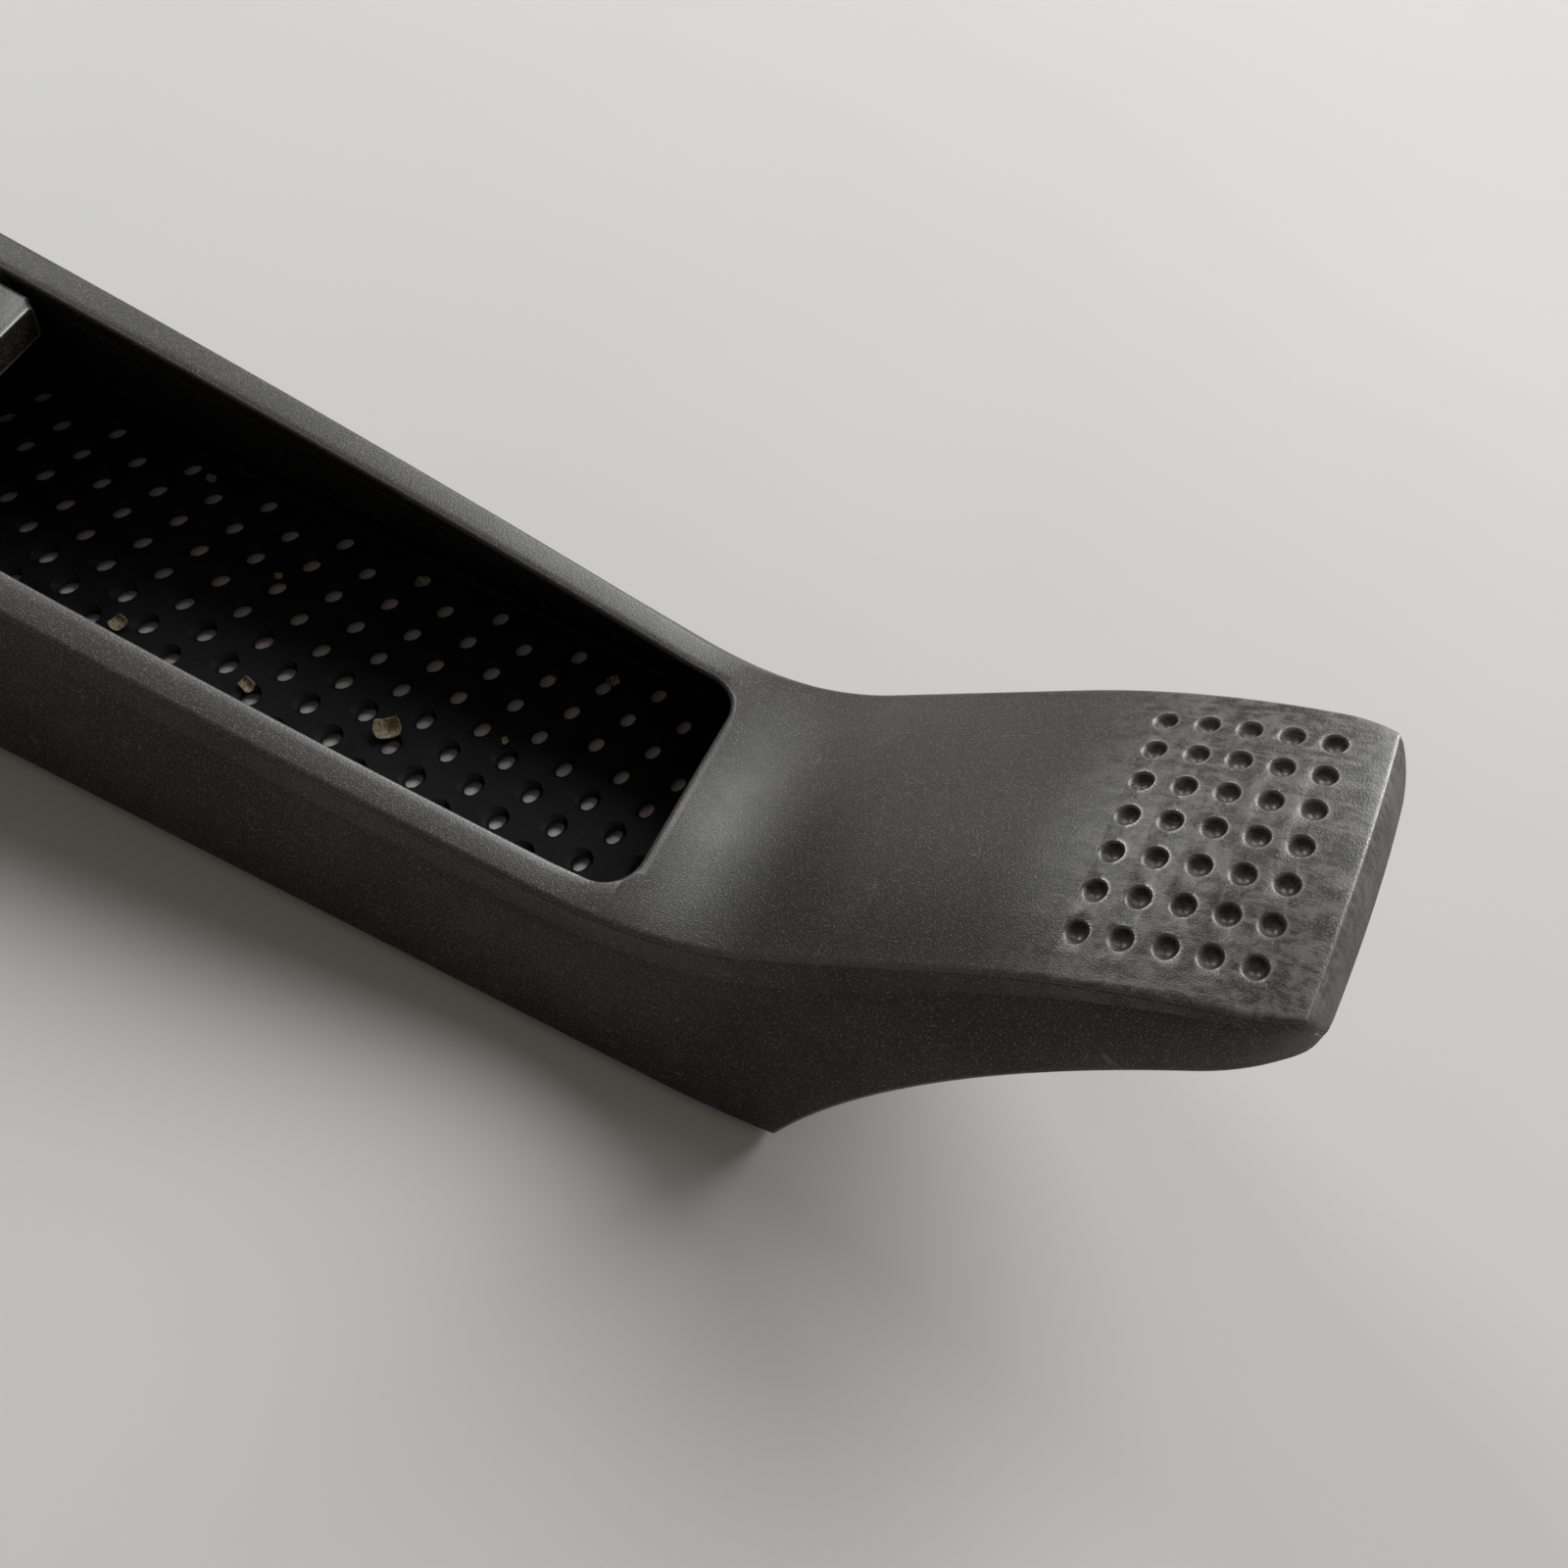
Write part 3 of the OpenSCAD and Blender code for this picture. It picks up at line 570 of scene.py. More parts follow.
# %% Lay out the teeth
TOOTH_DX, ROW_DY, ROW_SHIFT, TOOTH_X0, TOOTH_Y0, TOOTH_ROWS = 10.0, 2.25, 4.25, -60.6, 17.45, 16
MOST_IN_ROW = 40                                     # more than fit on the blade
TEETH_REAR, TEETH_FRONT = BLADE_REAR + 8, BLADE_FRONT - 7

tooth_places = []
for row in range(TOOTH_ROWS):
    start = TOOTH_X0 + row * ROW_SHIFT
    start -= TOOTH_DX * math.floor((start - TEETH_REAR) / TOOTH_DX)
    for x in (start + k * TOOTH_DX for k in range(MOST_IN_ROW)):
        if x <= TEETH_FRONT:
            tooth_places.append(Matrix.Translation((x, TOOTH_Y0 - row * ROW_DY, 0)))
print(len(tooth_places), "teeth")

# %% [markdown]
# Each tooth is punched: the sheet is dished on its inner side, and an opening breaks through at a slant.
# One punch, a stack of turned ellipses, is copied to all places and cut in one go. There are hundreds
# of them, so each is kept to a few dozen faces.

# %% Punch the openings
TOOTH_TURN, TOOTH_SIDES = math.radians(64), 12
PUNCH = [(-0.3, -0.3, 0.1, 1.3, 0.8), (0.9, 0.2, 0, 1.25, 0.72), (1.12, 0.05, 0, 1.42, 0.95),
         (1.45, -0.55, -0.1, 1.75, 1.75)]            # height, centre X and Y, half length, half width


def turned_ring(z, cx, cy, a, b, lift=0):
    """A level ellipse, turned as the teeth are. lift raises its cutting side."""
    ring = []
    for k in range(TOOTH_SIDES):
        t = math.tau * k / TOOTH_SIDES
        u, v = a * math.cos(t), b * math.sin(t)
        ring.append((cx + u * math.cos(TOOTH_TURN) - v * math.sin(TOOTH_TURN),
                     cy + u * math.sin(TOOTH_TURN) + v * math.cos(TOOTH_TURN),
                     z + lift * max(0, -math.sin(t))))
    return ring


combine(blade, repeated(loft([turned_ring(*level) for level in PUNCH]), tooth_places))
print("punched:", len(blade.data.polygons), "faces")

# %% [markdown]
# The left flange has a row of small round openings, half a tooth's spacing apart. They are drilled with
# copies of one thin bar.

# %% Small openings in the flange
SIDE_HOLE_R, SIDE_HOLE_Z, SIDE_HOLE_Y = 0.7, 3.2, 19.4

drill = bar(SIDE_HOLE_R, (0, SIDE_HOLE_Y, SIDE_HOLE_Z), (0, 1, 0), 2, 12)
drill_places = [Matrix.Translation((x, 0, 0)) for x in steps(TEETH_REAR, TEETH_FRONT + 5, TOOTH_DX / 2)]
combine(blade, repeated(drill, drill_places))
settle(blade, "frame", ["rasp_blade"], 15)

# %% [markdown]
# Below the sheet the punch leaves a raised cutting edge round each opening. It is a short leaning tube,
# higher on the cutting side. The tube is a loft that closes on itself, outside down and inside up.

# %% Raised cutting edges
LIFT = 0.2
COLLAR = [(0.75, 0.12, 0, 1.42, 0.92, 0), (0.02, -0.28, 0.1, 1.4, 0.9, LIFT),
          (0.02, -0.26, 0.1, 1.25, 0.76, LIFT), (0.75, 0.14, 0, 1.22, 0.7, 0)]

collar = [turned_ring(*level) for level in COLLAR]
teeth = as_object(repeated(loft(collar + [collar[0]], ends=False), tooth_places), "blade_teeth")
settle(teeth, "frame", (), 40)

# %% [markdown]
# ## The handle
# The handle is its own casting. Its long flat foot lies in the recess and follows the rails a millimetre
# below their top, so its sections ask the same curve for their height. All its upper edges are rounded.

# %% Foot of the handle
GRIP_X, FOOT_FRONT, FOOT_EDGE, EDGE_SLANT, FOOT_R, FOOT_BELOW = -172, -73.4, 0.9, 0.6, 0.8, 1

foot_rings = []
for x in ([FOOT_REAR, FOOT_REAR + 0.3, FOOT_REAR + FOOT_EDGE] + steps(-205, KNEE_X0, 10)
          + steps(KNEE_X0, KNEE_X1, 2) + steps(KNEE_X1, FOOT_FRONT - 1, 5)
          + [FOOT_FRONT - FOOT_EDGE, FOOT_FRONT - 0.5, FOOT_FRONT - 0.2, FOOT_FRONT]):
    end = max(0, x - FOOT_FRONT + FOOT_EDGE, FOOT_REAR + FOOT_EDGE - x)
    w, z = FOOT_HW - end * EDGE_SLANT, top_z(x) - FOOT_BELOW - end * EDGE_SLANT
    half = [(w - 0.3, DECK_Z + 0.02), (w, DECK_Z + 0.3)] + rounded(w, z, FOOT_R, COARSE_ARC)
    half += [(w * 0.5, z)]
    foot_rings.append([(x, y, h) for y, h in half] + [(x, -y, h) for y, h in reversed(half)])
handle = as_object(loft(foot_rings), "cast_handle")
print("foot:", len(handle.data.polygons), "faces")

# %% [markdown]
# The grip is hollow, with a horn for the palm. It is a stack of ellipses. A smooth curve through a few of
# them gives the many that the skin needs, so the palm's outline is drawn with few numbers. A second,
# smaller stack cut from its inside leaves the wall.

# %% Grip of the handle
GRIP_TOP, GRIP_WALL, CORE_MAX, GRIP_SIDES, CORE_SIDES, GRIP_GAP = 100, 3.2, 19, 64, 32, 5
GRIP = [(23, -3, 34, 13), (25.5, -3, 31, 12.7), (29, -3, 26, 12.2), (34, -2.5, 21.5, 12),
        (41, -1, 18.6, 12.4), (50, 2, 17.2, 13), (60, 4.5, 16.6, 13.2), (70, 5, 16.6, 13.1),
        (79, 3, 17.8, 12.6), (86, -0.5, 20, 11.6), (91.5, -4, 21.5, 10.2), (96, -7, 20.5, 8),
        (98.8, -9, 17, 5.2), (100, -10, 11, 2.4)]    # height, shift in X, half length, half width


def smooth_stack(stack, per_gap):
    """A Catmull-Rom curve through rows of numbers."""
    rows = [stack[0]] + stack + [stack[-1]]
    out = []
    for i in range(1, len(rows) - 2):
        p0, p1, p2, p3 = (Vector(rows[i + k]) for k in (-1, 0, 1, 2))
        for t in (k / per_gap for k in range(per_gap)):
            out.append(0.5 * (2 * p1 + (p2 - p0) * t + (2 * p0 - 5 * p1 + 4 * p2 - p3) * t * t
                              + (3 * p1 - p0 - 3 * p2 + p3) * t ** 3))
    return out + [Vector(stack[-1])]


def ellipse(z, cx, a, b, segments):
    turns = [math.tau * k / segments for k in range(segments)]
    return [(cx + a * math.cos(t), b * math.sin(t), z) for t in turns]


grip = [(z, GRIP_X + dx, a, b) for z, dx, a, b in GRIP]
skin = [ellipse(min(GRIP_TOP, z), cx, a, b, GRIP_SIDES) for z, cx, a, b in smooth_stack(grip, GRIP_GAP)]
combine(handle, loft(skin), "UNION")
core = [(DECK_Z - 1, GRIP_X - 3, CORE_MAX, 9.8)]
core += [(z, cx, min(CORE_MAX, a - GRIP_WALL), b - GRIP_WALL) for z, cx, a, b in grip[2:11]]
combine(handle, loft([ellipse(*row, CORE_SIDES) for row in core]))
for x in SCREWS_X:
    combine(handle, bar(THREAD_R, (x, 0, DECK_Z - 1), (0, 0, 1), 7, HOLE_SIDES))
settle(handle, "frame", ["handle_casting"], 34)

# %% [markdown]
# ## Wood caught in the blade
# A used rasp holds a few flecks of wood. Each is a thin curled plate: a small grid, bent and crumpled,
# with a wall given by Solidify. They lie on the blade where the photograph shows them.

# %% Flecks of wood
FLECKS = [(-23.5, -1.6, 3.1, 40), (-57.6, 17.0, 1.2, 10), (-54.8, -4.6, 2.0, 75), (-38.7, -4.2, 1.9, -20),
          (-5.7, 16.0, 1.5, 55), (-30.4, 17.0, 1.0, 0), (-44.0, 9.5, 0.9, 30), (-12.0, 3.5, 0.9, -50)]
CURL_LONG, CURL_WIDE, CRUMPLE, NARROW, TILT = 1.3, 0.7, 0.06, 0.7, math.radians(20)
FLECK_RISE, FLECK_THICK = 0.12, 0.12

flecks = bmesh.new()
for x, y, size, turn in FLECKS:
    before = len(flecks.verts)
    bmesh.ops.create_grid(flecks, x_segments=5, y_segments=4, size=0.5)
    flecks.verts.ensure_lookup_table()
    new = flecks.verts[before:]
    for v in new:
        curl = v.co.x ** 2 * CURL_LONG + v.co.y ** 2 * CURL_WIDE
        v.co = Vector((v.co.x * (1 - 0.5 * abs(v.co.y)), v.co.y * NARROW,
                       curl + random.uniform(-CRUMPLE, CRUMPLE)))
    place = Matrix.Translation((x, y, BLADE_Z + SHEET + size * FLECK_RISE))
    place = place @ Matrix.Rotation(math.radians(turn), 4, "Z") @ Matrix.Rotation(TILT, 4, "X")
    bmesh.ops.transform(flecks, matrix=place @ Matrix.Scale(size, 4), verts=new)
wood = as_object(flecks, "wood_flecks")
thin = wood.modifiers.new("thickness", "SOLIDIFY")
thin.thickness = FLECK_THICK * MM
round_off = wood.modifiers.new("round", "SUBSURF")
round_off.levels = round_off.render_levels = 1
settle(wood, "frame", (), 60)

# %% [markdown]
# ## Small steel pieces
# The screws, washers, slider and ring keep the CAD shape. Their meshes come as loose triangles, so a Weld
# modifier joins them first, and then a narrow Bevel takes the knife edge off every corner. A bevel that
# is only 0.2 mm wide is hardly seen as a shape, yet it draws the bright line that makes metal look solid.

# %% Soften the CAD pieces
BEVELS = {"handle_screws": 0.2, "handle_washers": 0.12, "tension_slider": 0.3, "tension_screw": 0.2,
          "thrust_washer": 0.1, "retaining_ring": 0.1}
steel_pieces = [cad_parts[name] for name in BEVELS]

for node, width in zip(steel_pieces, BEVELS.values()):
    weld = node.modifiers.new("weld", "WELD")
    weld.merge_threshold = 1e-6
    soft = node.modifiers.new("soften", "BEVEL")
    soft.width, soft.segments, soft.limit_method = width * MM, 2, "ANGLE"
    soft.angle_limit = math.radians(35)
    for polygon in node.data.polygons:
        polygon.use_smooth = True
    node.data.set_sharp_from_angle(angle=math.radians(30))
print("softened:", list(BEVELS))

# %% [markdown]
# # Finishes
# Three effects are shared: a fine cast grain, wear along the edges, and scratches. Each is a node group
# with named inputs and outputs, built once. A group gives out masks and heights only, and the shader that
# uses them stays in its material. A few helpers place the nodes, because a noise or a ramp written out in
# full takes six lines each time.

# %% Helpers for nodes
def feed(tree, socket, value):
    """Sets a plain number on a socket, or links another node's output to it."""
    if isinstance(value, (int, float)):
        socket.default_value = value
    else:
        tree.links.new(value, socket)


def noise(tree, vector, scale, detail, rough):
    node = tree.nodes.new("ShaderNodeTexNoise")
    for socket, value in (("Vector", vector), ("Scale", scale), ("Detail", detail), ("Roughness", rough)):
        feed(tree, node.inputs[socket], value)
    return node.outputs["Fac"]


def ramp(tree, value, low, high, out_low=0.0, out_high=1.0):
    """Maps a value from one range to another and keeps it inside."""
    node = tree.nodes.new("ShaderNodeMapRange")
    for socket, setting in (("Value", value), ("From Min", low), ("From Max", high),
                            ("To Min", out_low), ("To Max", out_high)):
        feed(tree, node.inputs[socket], setting)
    return node.outputs["Result"]


def maths(tree, operation, a, b=0.0, clamp=False):
    node = tree.nodes.new("ShaderNodeMath")
    node.operation, node.use_clamp = operation, clamp
    for socket, value in zip(node.inputs, (a, b)):
        feed(tree, socket, value)
    return node.outputs[0]


def stretched(tree, vector, turn, scale):
    """Turns a pattern round Z by degrees and stretches it."""
    node = tree.nodes.new("ShaderNodeMapping")
    node.inputs["Rotation"].default_value = (0, 0, math.radians(turn))
    node.inputs["Scale"].default_value = scale
    tree.links.new(vector, node.inputs["Vector"])
    return node.outputs["Vector"]


def group(name, inputs, outputs):
    """An empty shader node group with float sockets, or vector ones where the name says Vector."""
    tree = bpy.data.node_groups.new(name, "ShaderNodeTree")
    for socket, default in inputs:
        kind = "NodeSocketVector" if socket == "Vector" else "NodeSocketFloat"
        made = tree.interface.new_socket(name=socket, in_out="INPUT", socket_type=kind)
        if default is not None:
            made.default_value = default
    for socket in outputs:
        tree.interface.new_socket(name=socket, in_out="OUTPUT", socket_type="NodeSocketFloat")
    return tree, tree.nodes.new("NodeGroupInput").outputs, tree.nodes.new("NodeGroupOutput").inputs


print("node helpers ready, groups so far:", len(bpy.data.node_groups))

# %% [markdown]
# The cast grain is what the sand of the mould and the sprayed paint leave: bumps a fraction of a
# millimetre wide, with broader patches where hands have polished it. Two noises of different size make
# it, and the larger one takes its scale from the finer, so one number sets both.

# %% Cast grain
PATCH_SHARE = 0.016                # the patches' scale as a share of the grain's

grain, grain_in, grain_made = group("cast_grain", [("Vector", None), ("Scale", 6000.0)],
                                    ["Height", "Speck", "Patch"])
patch_scale = maths(grain, "MULTIPLY", grain_in["Scale"], PATCH_SHARE)
fine = noise(grain, grain_in["Vector"], grain_in["Scale"], detail=1.5, rough=0.6)
broad = noise(grain, grain_in["Vector"], patch_scale, detail=4, rough=0.6)
grain.links.new(fine, grain_made["Height"])
grain.links.new(ramp(grain, fine, 0.54, 0.76), grain_made["Speck"])
grain.links.new(ramp(grain, broad, 0.35, 0.68), grain_made["Patch"])
print("cast grain:", len(grain.nodes), "nodes")

# %% [markdown]
# Paint wears first where an edge sticks out. The Bevel node gives the normal that a rounded edge would
# have; where it differs from the true normal there is an edge. Noise then breaks the line up, as real
# wear does.

# %% Edge wear
WEAR_R = 0.55                      # how far from an edge the paint wears, in mm

wear, wear_in, wear_made = group("edge_wear", [("Vector", None), ("Amount", 0.5), ("Breakup", 900.0)],
                                 ["Mask"])
soft_edge = wear.nodes.new("ShaderNodeBevel")
soft_edge.samples = 6
soft_edge.inputs["Radius"].default_value = WEAR_R * MM
true_side = wear.nodes.new("ShaderNodeNewGeometry")
agree = wear.nodes.new("ShaderNodeVectorMath")
agree.operation = "DOT_PRODUCT"
wear.links.new(soft_edge.outputs["Normal"], agree.inputs[0])
wear.links.new(true_side.outputs["Normal"], agree.inputs[1])
edge = ramp(wear, agree.outputs["Value"], 0.9985, 0.955)
patchy = noise(wear, wear_in["Vector"], wear_in["Breakup"], detail=5, rough=0.65)
limit = maths(wear, "SUBTRACT", 0.78, maths(wear, "MULTIPLY", wear_in["Amount"], 0.5))
broken = ramp(wear, patchy, limit, maths(wear, "ADD", limit, 0.12))
wear.links.new(maths(wear, "MULTIPLY", edge, broken, clamp=True), wear_made["Mask"])
print("edge wear:", len(wear.nodes), "nodes")

# %% [markdown]
# Scratches are thin and long. A noise that is stretched far along one direction gives streaks, and a
# narrow window on its value leaves only hairlines. Three directions and a patchy mask keep them from
# looking combed.

# %% Scratches
STREAKS = ((35, (90, 2600, 90)), (-50, (2400, 120, 120)), (80, (150, 2000, 150)))    # turn, stretch
HAIR = (0.012, 0.004)              # how near to the middle of the noise a scratch begins, and is full

scratch, scratch_in, scratch_made = group("scratches", [("Vector", None), ("Density", 0.5)], ["Mask"])
lines = []
for turn, stretch in STREAKS:
    drawn = stretched(scratch, scratch_in["Vector"], turn, stretch)
    streak = noise(scratch, drawn, 1.0, detail=1, rough=0.4)
    near = maths(scratch, "ABSOLUTE", maths(scratch, "SUBTRACT", streak, 0.5))
    where = noise(scratch, scratch_in["Vector"], 210 + turn, detail=2, rough=0.5)
    lines.append(maths(scratch, "MULTIPLY", ramp(scratch, near, *HAIR), ramp(scratch, where, 0.6, 0.68)))
both = maths(scratch, "MAXIMUM", maths(scratch, "MAXIMUM", lines[0], lines[1]), lines[2])
scratch.links.new(maths(scratch, "MULTIPLY", both, scratch_in["Density"], clamp=True), scratch_made["Mask"])
print("groups:", [g.name for g in bpy.data.node_groups])

# %% [markdown]
# Each material starts from Object coordinates and one Principled BSDF. A value that is the same all over
# a piece is set plainly on the shader's own socket, and only what changes over the surface is linked.

# %% Material helpers
SOCKETS = {"rough": "Roughness", "metallic": "Metallic", "specular": "Specular IOR Level"}


def material(name, **plain):
    """A new material with its plain values. Returns it with its nodes, sockets and coordinates."""
    mat = bpy.data.materials.new(name)
    mat.use_nodes = True
    tree = mat.node_tree
    shader = tree.nodes["Principled BSDF"]
    for socket, value in plain.items():
        shader.inputs[SOCKETS[socket]].default_value = value
    return mat, tree, shader.inputs, tree.nodes.new("ShaderNodeTexCoord").outputs["Object"]


def use(tree, made, vector, **values):
    """Places a node group in a material with its own values."""
    node = tree.nodes.new("ShaderNodeGroup")
    node.node_tree = made
    tree.links.new(vector, node.inputs["Vector"])
    for key, value in values.items():
        node.inputs[key].default_value = value
    return node.outputs


def mix(tree, factor, a, b):
    """Blends two colours by a mask. The Mix node keeps its colour sockets at 6 and 7, and outputs at 2."""
    node = tree.nodes.new("ShaderNodeMix")
    node.data_type = "RGBA"
    tree.links.new(factor, node.inputs["Factor"])
    for socket, value in ((node.inputs[6], a), (node.inputs[7], b)):
        if isinstance(value, tuple):
            socket.default_value = (*value, 1)
        else:
            tree.links.new(value, socket)
    return node.outputs[2]


def bump(tree, surface, height, strength, distance):
    """Lets a height disturb the surface. distance is in mm."""
    node = tree.nodes.new("ShaderNodeBump")
    node.inputs["Strength"].default_value = strength
    node.inputs["Distance"].default_value = distance * MM
    tree.links.new(height, node.inputs["Height"])
    tree.links.new(node.outputs["Normal"], surface["Normal"])


def coat(mat, *pieces):
    """Gives pieces one material."""
    for piece in pieces:
        piece.data.materials.clear()
        piece.data.materials.append(mat)
    print(mat.name, "on", [piece.name for piece in pieces])


# %% [markdown]
# ## Where the thumb rubs
# Hands and dust polish the faces that look up, while the walls stay matt. The true normal tells the two
# apart, and the paint also uses it to colour the walls darker and browner than the tops, as painted shade.
# Round the dimples the thumb has rubbed the paint thin. That patch begins at one mark along the tool, and
# short slanted strokes and small chips break it up, because a clean edge would look printed on.

# %% Where the thumb rubs
RUB_X0, RUB_X1, RUB_FULL = 41, 50, 0.7         # where the patch begins, where it is whole, its strength


def looks_up(tree):
    """A mask for faces that look up."""
    normal = tree.nodes.new("ShaderNodeNewGeometry")
    split = tree.nodes.new("ShaderNodeSeparateXYZ")
    tree.links.new(normal.outputs["True Normal"], split.inputs["Vector"])
    return ramp(tree, split.outputs["Z"], 0.3, 0.8)


def rubbed(tree, at):
    """A mask for the polished patch round the dimples, broken up by short strokes and chips."""
    split = tree.nodes.new("ShaderNodeSeparateXYZ")
    tree.links.new(at, split.inputs["Vector"])
    along = ramp(tree, split.outputs["X"], (MID_X + RUB_X0) * MM, (MID_X + RUB_X1) * MM)
    strokes = stretched(tree, at, 25, (420, 1500, 420))
    hatch = ramp(tree, noise(tree, strokes, 1.0, detail=3, rough=0.6), 0.46, 0.66)
    chips = ramp(tree, noise(tree, at, 520, detail=4, rough=0.65), 0.46, 0.62)
    patch = maths(tree, "MULTIPLY", along, maths(tree, "MAXIMUM", hatch, chips))
    return maths(tree, "MULTIPLY", patch, maths(tree, "MULTIPLY", looks_up(tree), RUB_FULL))


print("thumb patch grows from X", RUB_X0, "to", RUB_X1)

# %% [markdown]
# ## The paint
# The paint is a dark satin grey. Its colour is built in layers: the coat, with the walls coloured darker
# than the tops as painted shade, then pale specks that stand for dust and for painted glints on the grain,
# the thumb's patch, scratches, and bare metal along the edges. Each layer is one mix by its own mask, so
# any of them can be changed without touching the rest. The plain specular level stays under its link, for
# programs that don't read the link.

# %% Painted castings
# The wall colours are darker and browner than the top colours: painted shade on the walls.
WALLS_PAINTED_SHADE = (0.0125, 0.0100, 0.0096), (0.0175, 0.0145, 0.0140)
TOPS_LIT = (0.020, 0.0195, 0.0195), (0.033, 0.0325, 0.032)
# The pale speck colour stands partly for dust and partly for painted glints on the sand grain.
DUST_AND_GLINTS, RUBBED = (0.20, 0.195, 0.19), (0.21, 0.208, 0.208)
SCRATCHED, BARE = (0.22, 0.215, 0.21), (0.34, 0.34, 0.34)

paint, tree, surface, at = material("worn_cast_paint", specular=0.8)
grain_out = use(tree, grain, at)
worn_off = use(tree, wear, at, Amount=1.0)["Mask"]
marks = use(tree, scratch, at, Density=0.35)["Mask"]
up = looks_up(tree)
# Faces that don't look up take the darker wall colour: painted shade.
coats = mix(tree, up, mix(tree, grain_out["Patch"], *WALLS_PAINTED_SHADE), mix(tree, grain_out["Patch"], *TOPS_LIT))
# Pale specks: part dust, part painted glints of the grain.
coats = mix(tree, maths(tree, "MULTIPLY", grain_out["Speck"], 0.95), coats, DUST_AND_GLINTS)
coats = mix(tree, rubbed(tree, at), coats, RUBBED)
coats = mix(tree, marks, coats, SCRATCHED)
tree.links.new(mix(tree, worn_off, coats, BARE), surface["Base Color"])
dull = maths(tree, "ADD", ramp(tree, grain_out["Patch"], 0, 1, 0.42, 0.34), ramp(tree, up, 0, 1, 0.15, 0))
smoother = maths(tree, "MULTIPLY", worn_off, 0.08)
tree.links.new(maths(tree, "SUBTRACT", dull, smoother), surface["Roughness"])
tree.links.new(ramp(tree, up, 0, 1, 0.3, 0.8), surface["Specular IOR Level"])
tree.links.new(maths(tree, "MULTIPLY", worn_off, 0.6), surface["Metallic"])
bump(tree, surface, grain_out["Height"], 0.55, 0.06)
coat(paint, casting, handle)

# %% [markdown]
# The blade is blackened steel, almost without gloss where it has not been used. A broad noise varies its
# black, and a finer one gives it the tooth of an oxide skin.

# %% Blackened blade
BLACKS = (0.007, 0.0072, 0.008), (0.012, 0.0122, 0.013)

black, tree, surface, at = material("black_blade", specular=0.10)
patch = noise(tree, at, 260, detail=4, rough=0.6)
tree.links.new(mix(tree, ramp(tree, patch, 0.35, 0.7), *BLACKS), surface["Base Color"])
tree.links.new(ramp(tree, patch, 0.3, 0.7, 0.42, 0.58), surface["Roughness"])
bump(tree, surface, noise(tree, at, 1400, detail=3, rough=0.6), 0.3, 0.06)
coat(black, blade, teeth)

# %% [markdown]
# The screws and the slider are plain steel that has dulled in the workshop's air. Tarnish darkens and
# roughens it in clouds, and the same edge wear as on the paint brightens its corners.

# %% Dull steel
STEELS, STEEL_EDGE = ((0.30, 0.29, 0.27), (0.42, 0.41, 0.39)), (0.62, 0.61, 0.60)

steel, tree, surface, at = material("dull_steel", metallic=1.0)
tarnish = noise(tree, at, 300, detail=5, rough=0.6)
worn_off = use(tree, wear, at, Amount=0.6, Breakup=1500.0)["Mask"]
clouded = mix(tree, ramp(tree, tarnish, 0.35, 0.7), *STEELS)
tree.links.new(mix(tree, worn_off, clouded, STEEL_EDGE), surface["Base Color"])
tree.links.new(ramp(tree, tarnish, 0.3, 0.7, 0.48, 0.3), surface["Roughness"])
bump(tree, surface, noise(tree, at, 2500, detail=2, rough=0.5), 0.15, 0.03)
coat(steel, *steel_pieces)

# %% [markdown]
# The flecks are raw wood, torn and dry. One noise serves twice: as light and dark fibres in the colour,
# and as the height of the torn surface.

# %% Wood of the flecks
WOODS = (0.14, 0.10, 0.055), (0.42, 0.36, 0.25)

timber, tree, surface, at = material("fleck_wood", rough=0.8, specular=0.3)
fibres = noise(tree, at, 2600, detail=3, rough=0.6)
tree.links.new(mix(tree, ramp(tree, fibres, 0.35, 0.65), *WOODS), surface["Base Color"])
bump(tree, surface, fibres, 0.4, 0.05)
coat(timber, wood)

# %% [markdown]
# # Floor, light and camera
# The tool lies on a pale board. A plain grid is enough, because the board has no edge in the picture. Its
# colour varies by a few hundredths and its surface is hardly uneven, so that it never looks computed.

# %% Floor
FLOOR_SIZE, BOARDS = 3, ((0.70, 0.705, 0.70), (0.76, 0.765, 0.76))

floor_bm = bmesh.new()
bmesh.ops.create_grid(floor_bm, x_segments=1, y_segments=1, size=FLOOR_SIZE)
floor = as_object(floor_bm, "floor")
board, tree, surface, at = material("pale_board", rough=0.6, specular=0.25)
cloud = noise(tree, at, 6, detail=3, rough=0.5)
tree.links.new(mix(tree, ramp(tree, cloud, 0.3, 0.7), *BOARDS), surface["Base Color"])
bump(tree, surface, noise(tree, at, 40, detail=5, rough=0.55), 0.12, 0.4)
coat(board, floor)

# %% [markdown]
# Three soft lamps stand round the tool. The large window behind it, towards +Y, gives most of the light
# and throws the broad soft shadow to the near side. A small one, nearer and towards -X, draws the bright
# band in the valley, because there the surface faces halfway between that lamp and the camera. A weak one
# towards +X stands for the far wall, which lights the toe's front face.

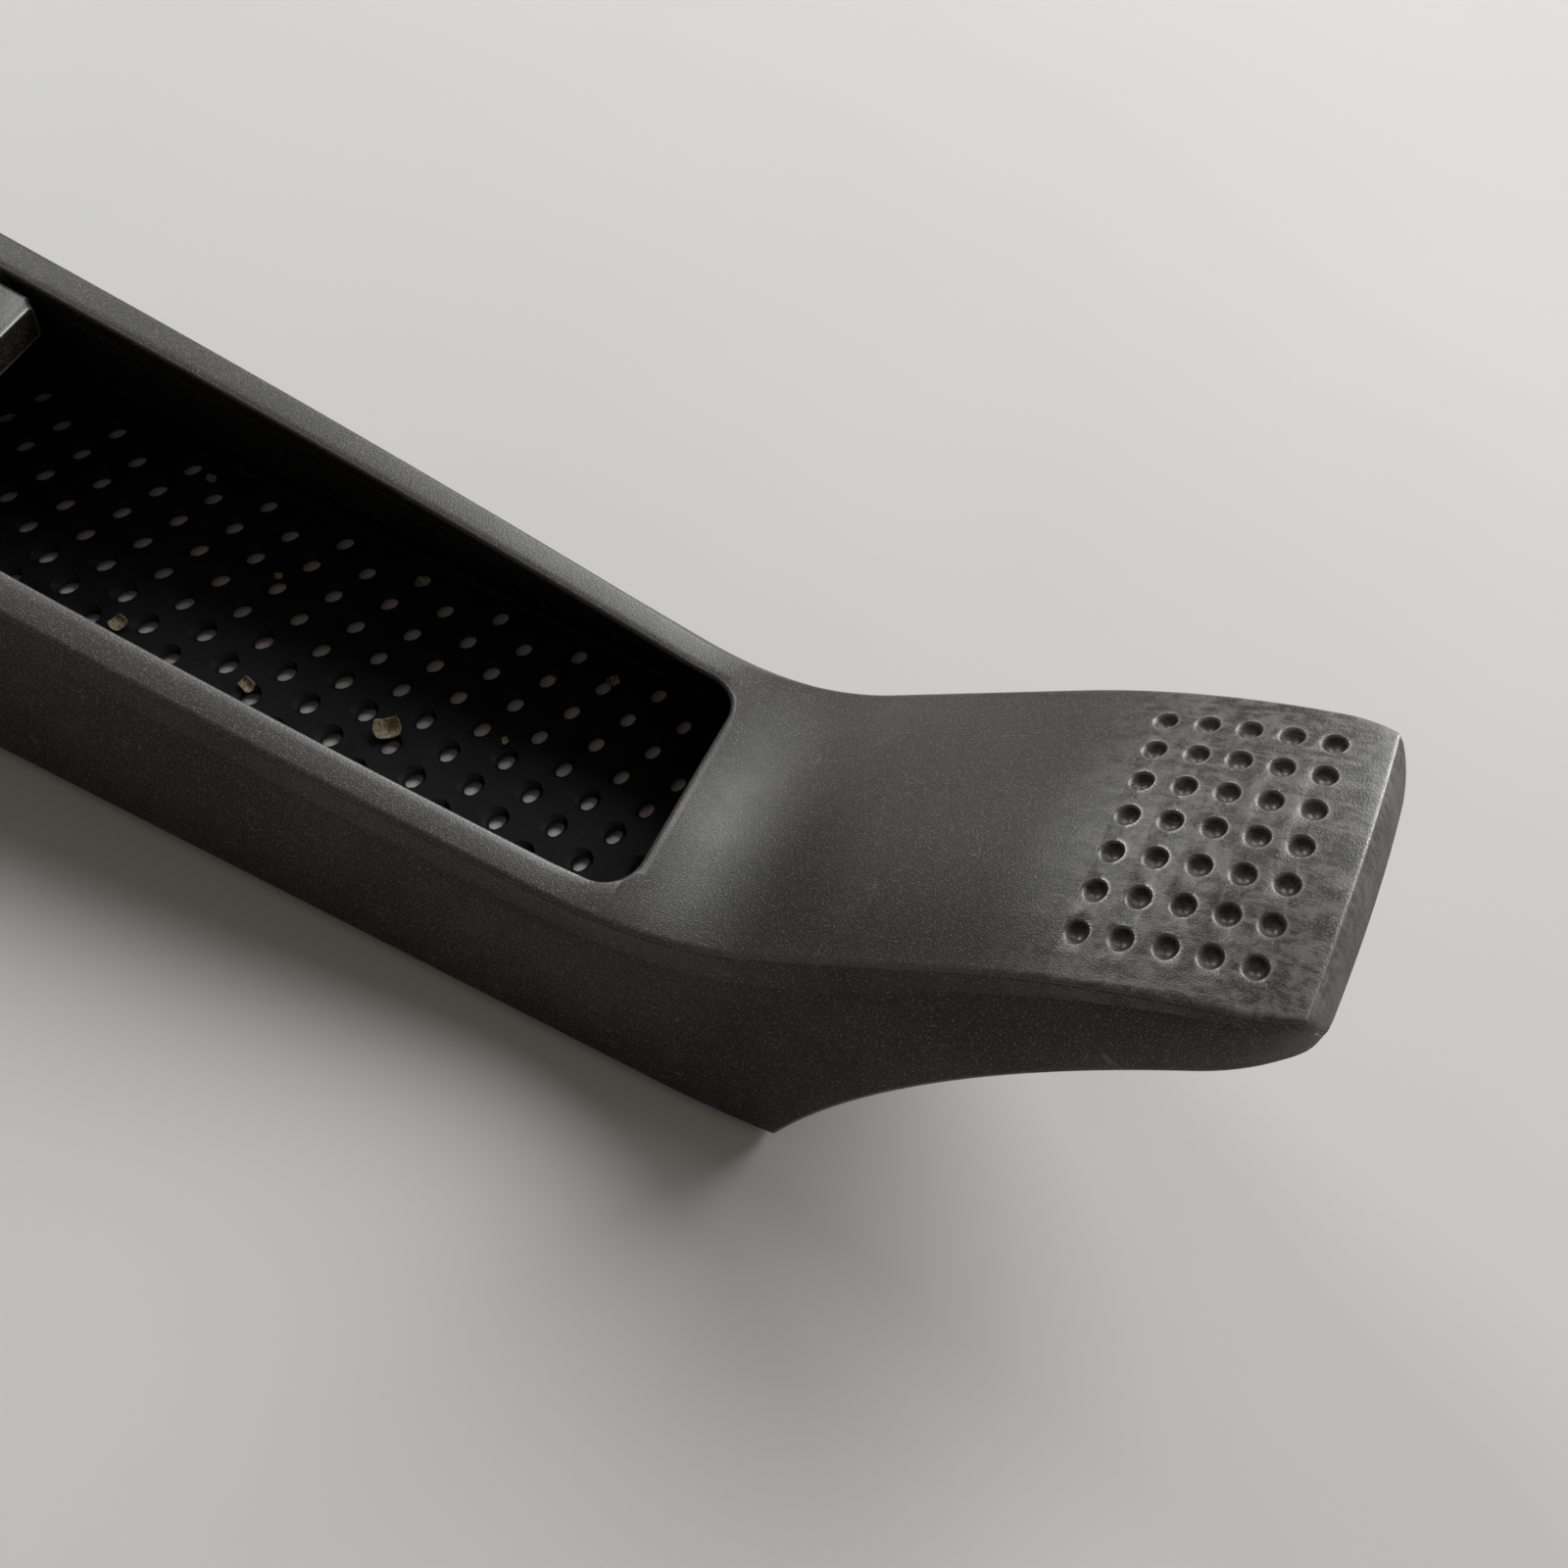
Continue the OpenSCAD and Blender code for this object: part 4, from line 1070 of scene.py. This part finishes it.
# %% Soft light
CENTRE = Vector((10 + MID_X, 0, 15)) * MM
LAMPS = [("window", (0.20, 0.77, 0.58), 1.6, 1.5, 28.0, (1.0, 1.0, 1.0)),
         ("side window", (-0.72, 0.46, 0.54), 0.60, 0.20, 0.80, (1.0, 1.0, 1.0)),
         ("far wall", (0.94, 0.15, 0.28), 1.5, 0.9, 1.1, (1.0, 0.98, 0.96))]
AIR_COLOUR, AIR_STRENGTH = (1.0, 0.88, 0.78, 1), 0.12

for name, direction, distance, size, power, colour in LAMPS:
    data = bpy.data.lights.new(name, "AREA")
    data.shape, data.size, data.energy, data.color = "DISK", size, power, colour
    lamp = bpy.data.objects.new(name, data)
    bpy.context.scene.collection.objects.link(lamp)
    away = Vector(direction).normalized()
    lamp.location = CENTRE + away * distance
    lamp.rotation_euler = away.to_track_quat("Z", "Y").to_euler()
world = bpy.data.worlds.new("room_air")
world.use_nodes = True
world.node_tree.nodes["Background"].inputs["Color"].default_value = AIR_COLOUR
world.node_tree.nodes["Background"].inputs["Strength"].default_value = AIR_STRENGTH
bpy.context.scene.world = world
bpy.context.scene.view_settings.view_transform = "Standard"
print("lamps:", [lamp[0] for lamp in LAMPS])

# %% [markdown]
# The camera was solved from the photograph: the rows of openings in the blade have a known spacing, and
# so do the dimples. Its three axes are written out, right, up and back, as the columns of one matrix.

# %% Camera
LENS, SENSOR, NEAR, FAR = 40.5, 36, 0.01, 20
EYE = Vector((34.71 + MID_X, -81.92, 166.85)) * MM

lens = bpy.data.cameras.new("camera")
lens.lens, lens.sensor_width, lens.clip_start, lens.clip_end = LENS, SENSOR, NEAR, FAR
camera = bpy.data.objects.new("camera", lens)
bpy.context.scene.collection.objects.link(camera)
right = Vector((0.8952, 0.4212, 0.1455)).normalized()
up = Vector((-0.4355, 0.7574, 0.4865))
up = (up - right * up.dot(right)).normalized()
back = right.cross(up)
axes = Matrix((right, up, back)).transposed().to_4x4()
camera.matrix_world = Matrix.Translation(EYE) @ axes
bpy.context.scene.camera = camera
print("camera at", [round(c, 4) for c in EYE])
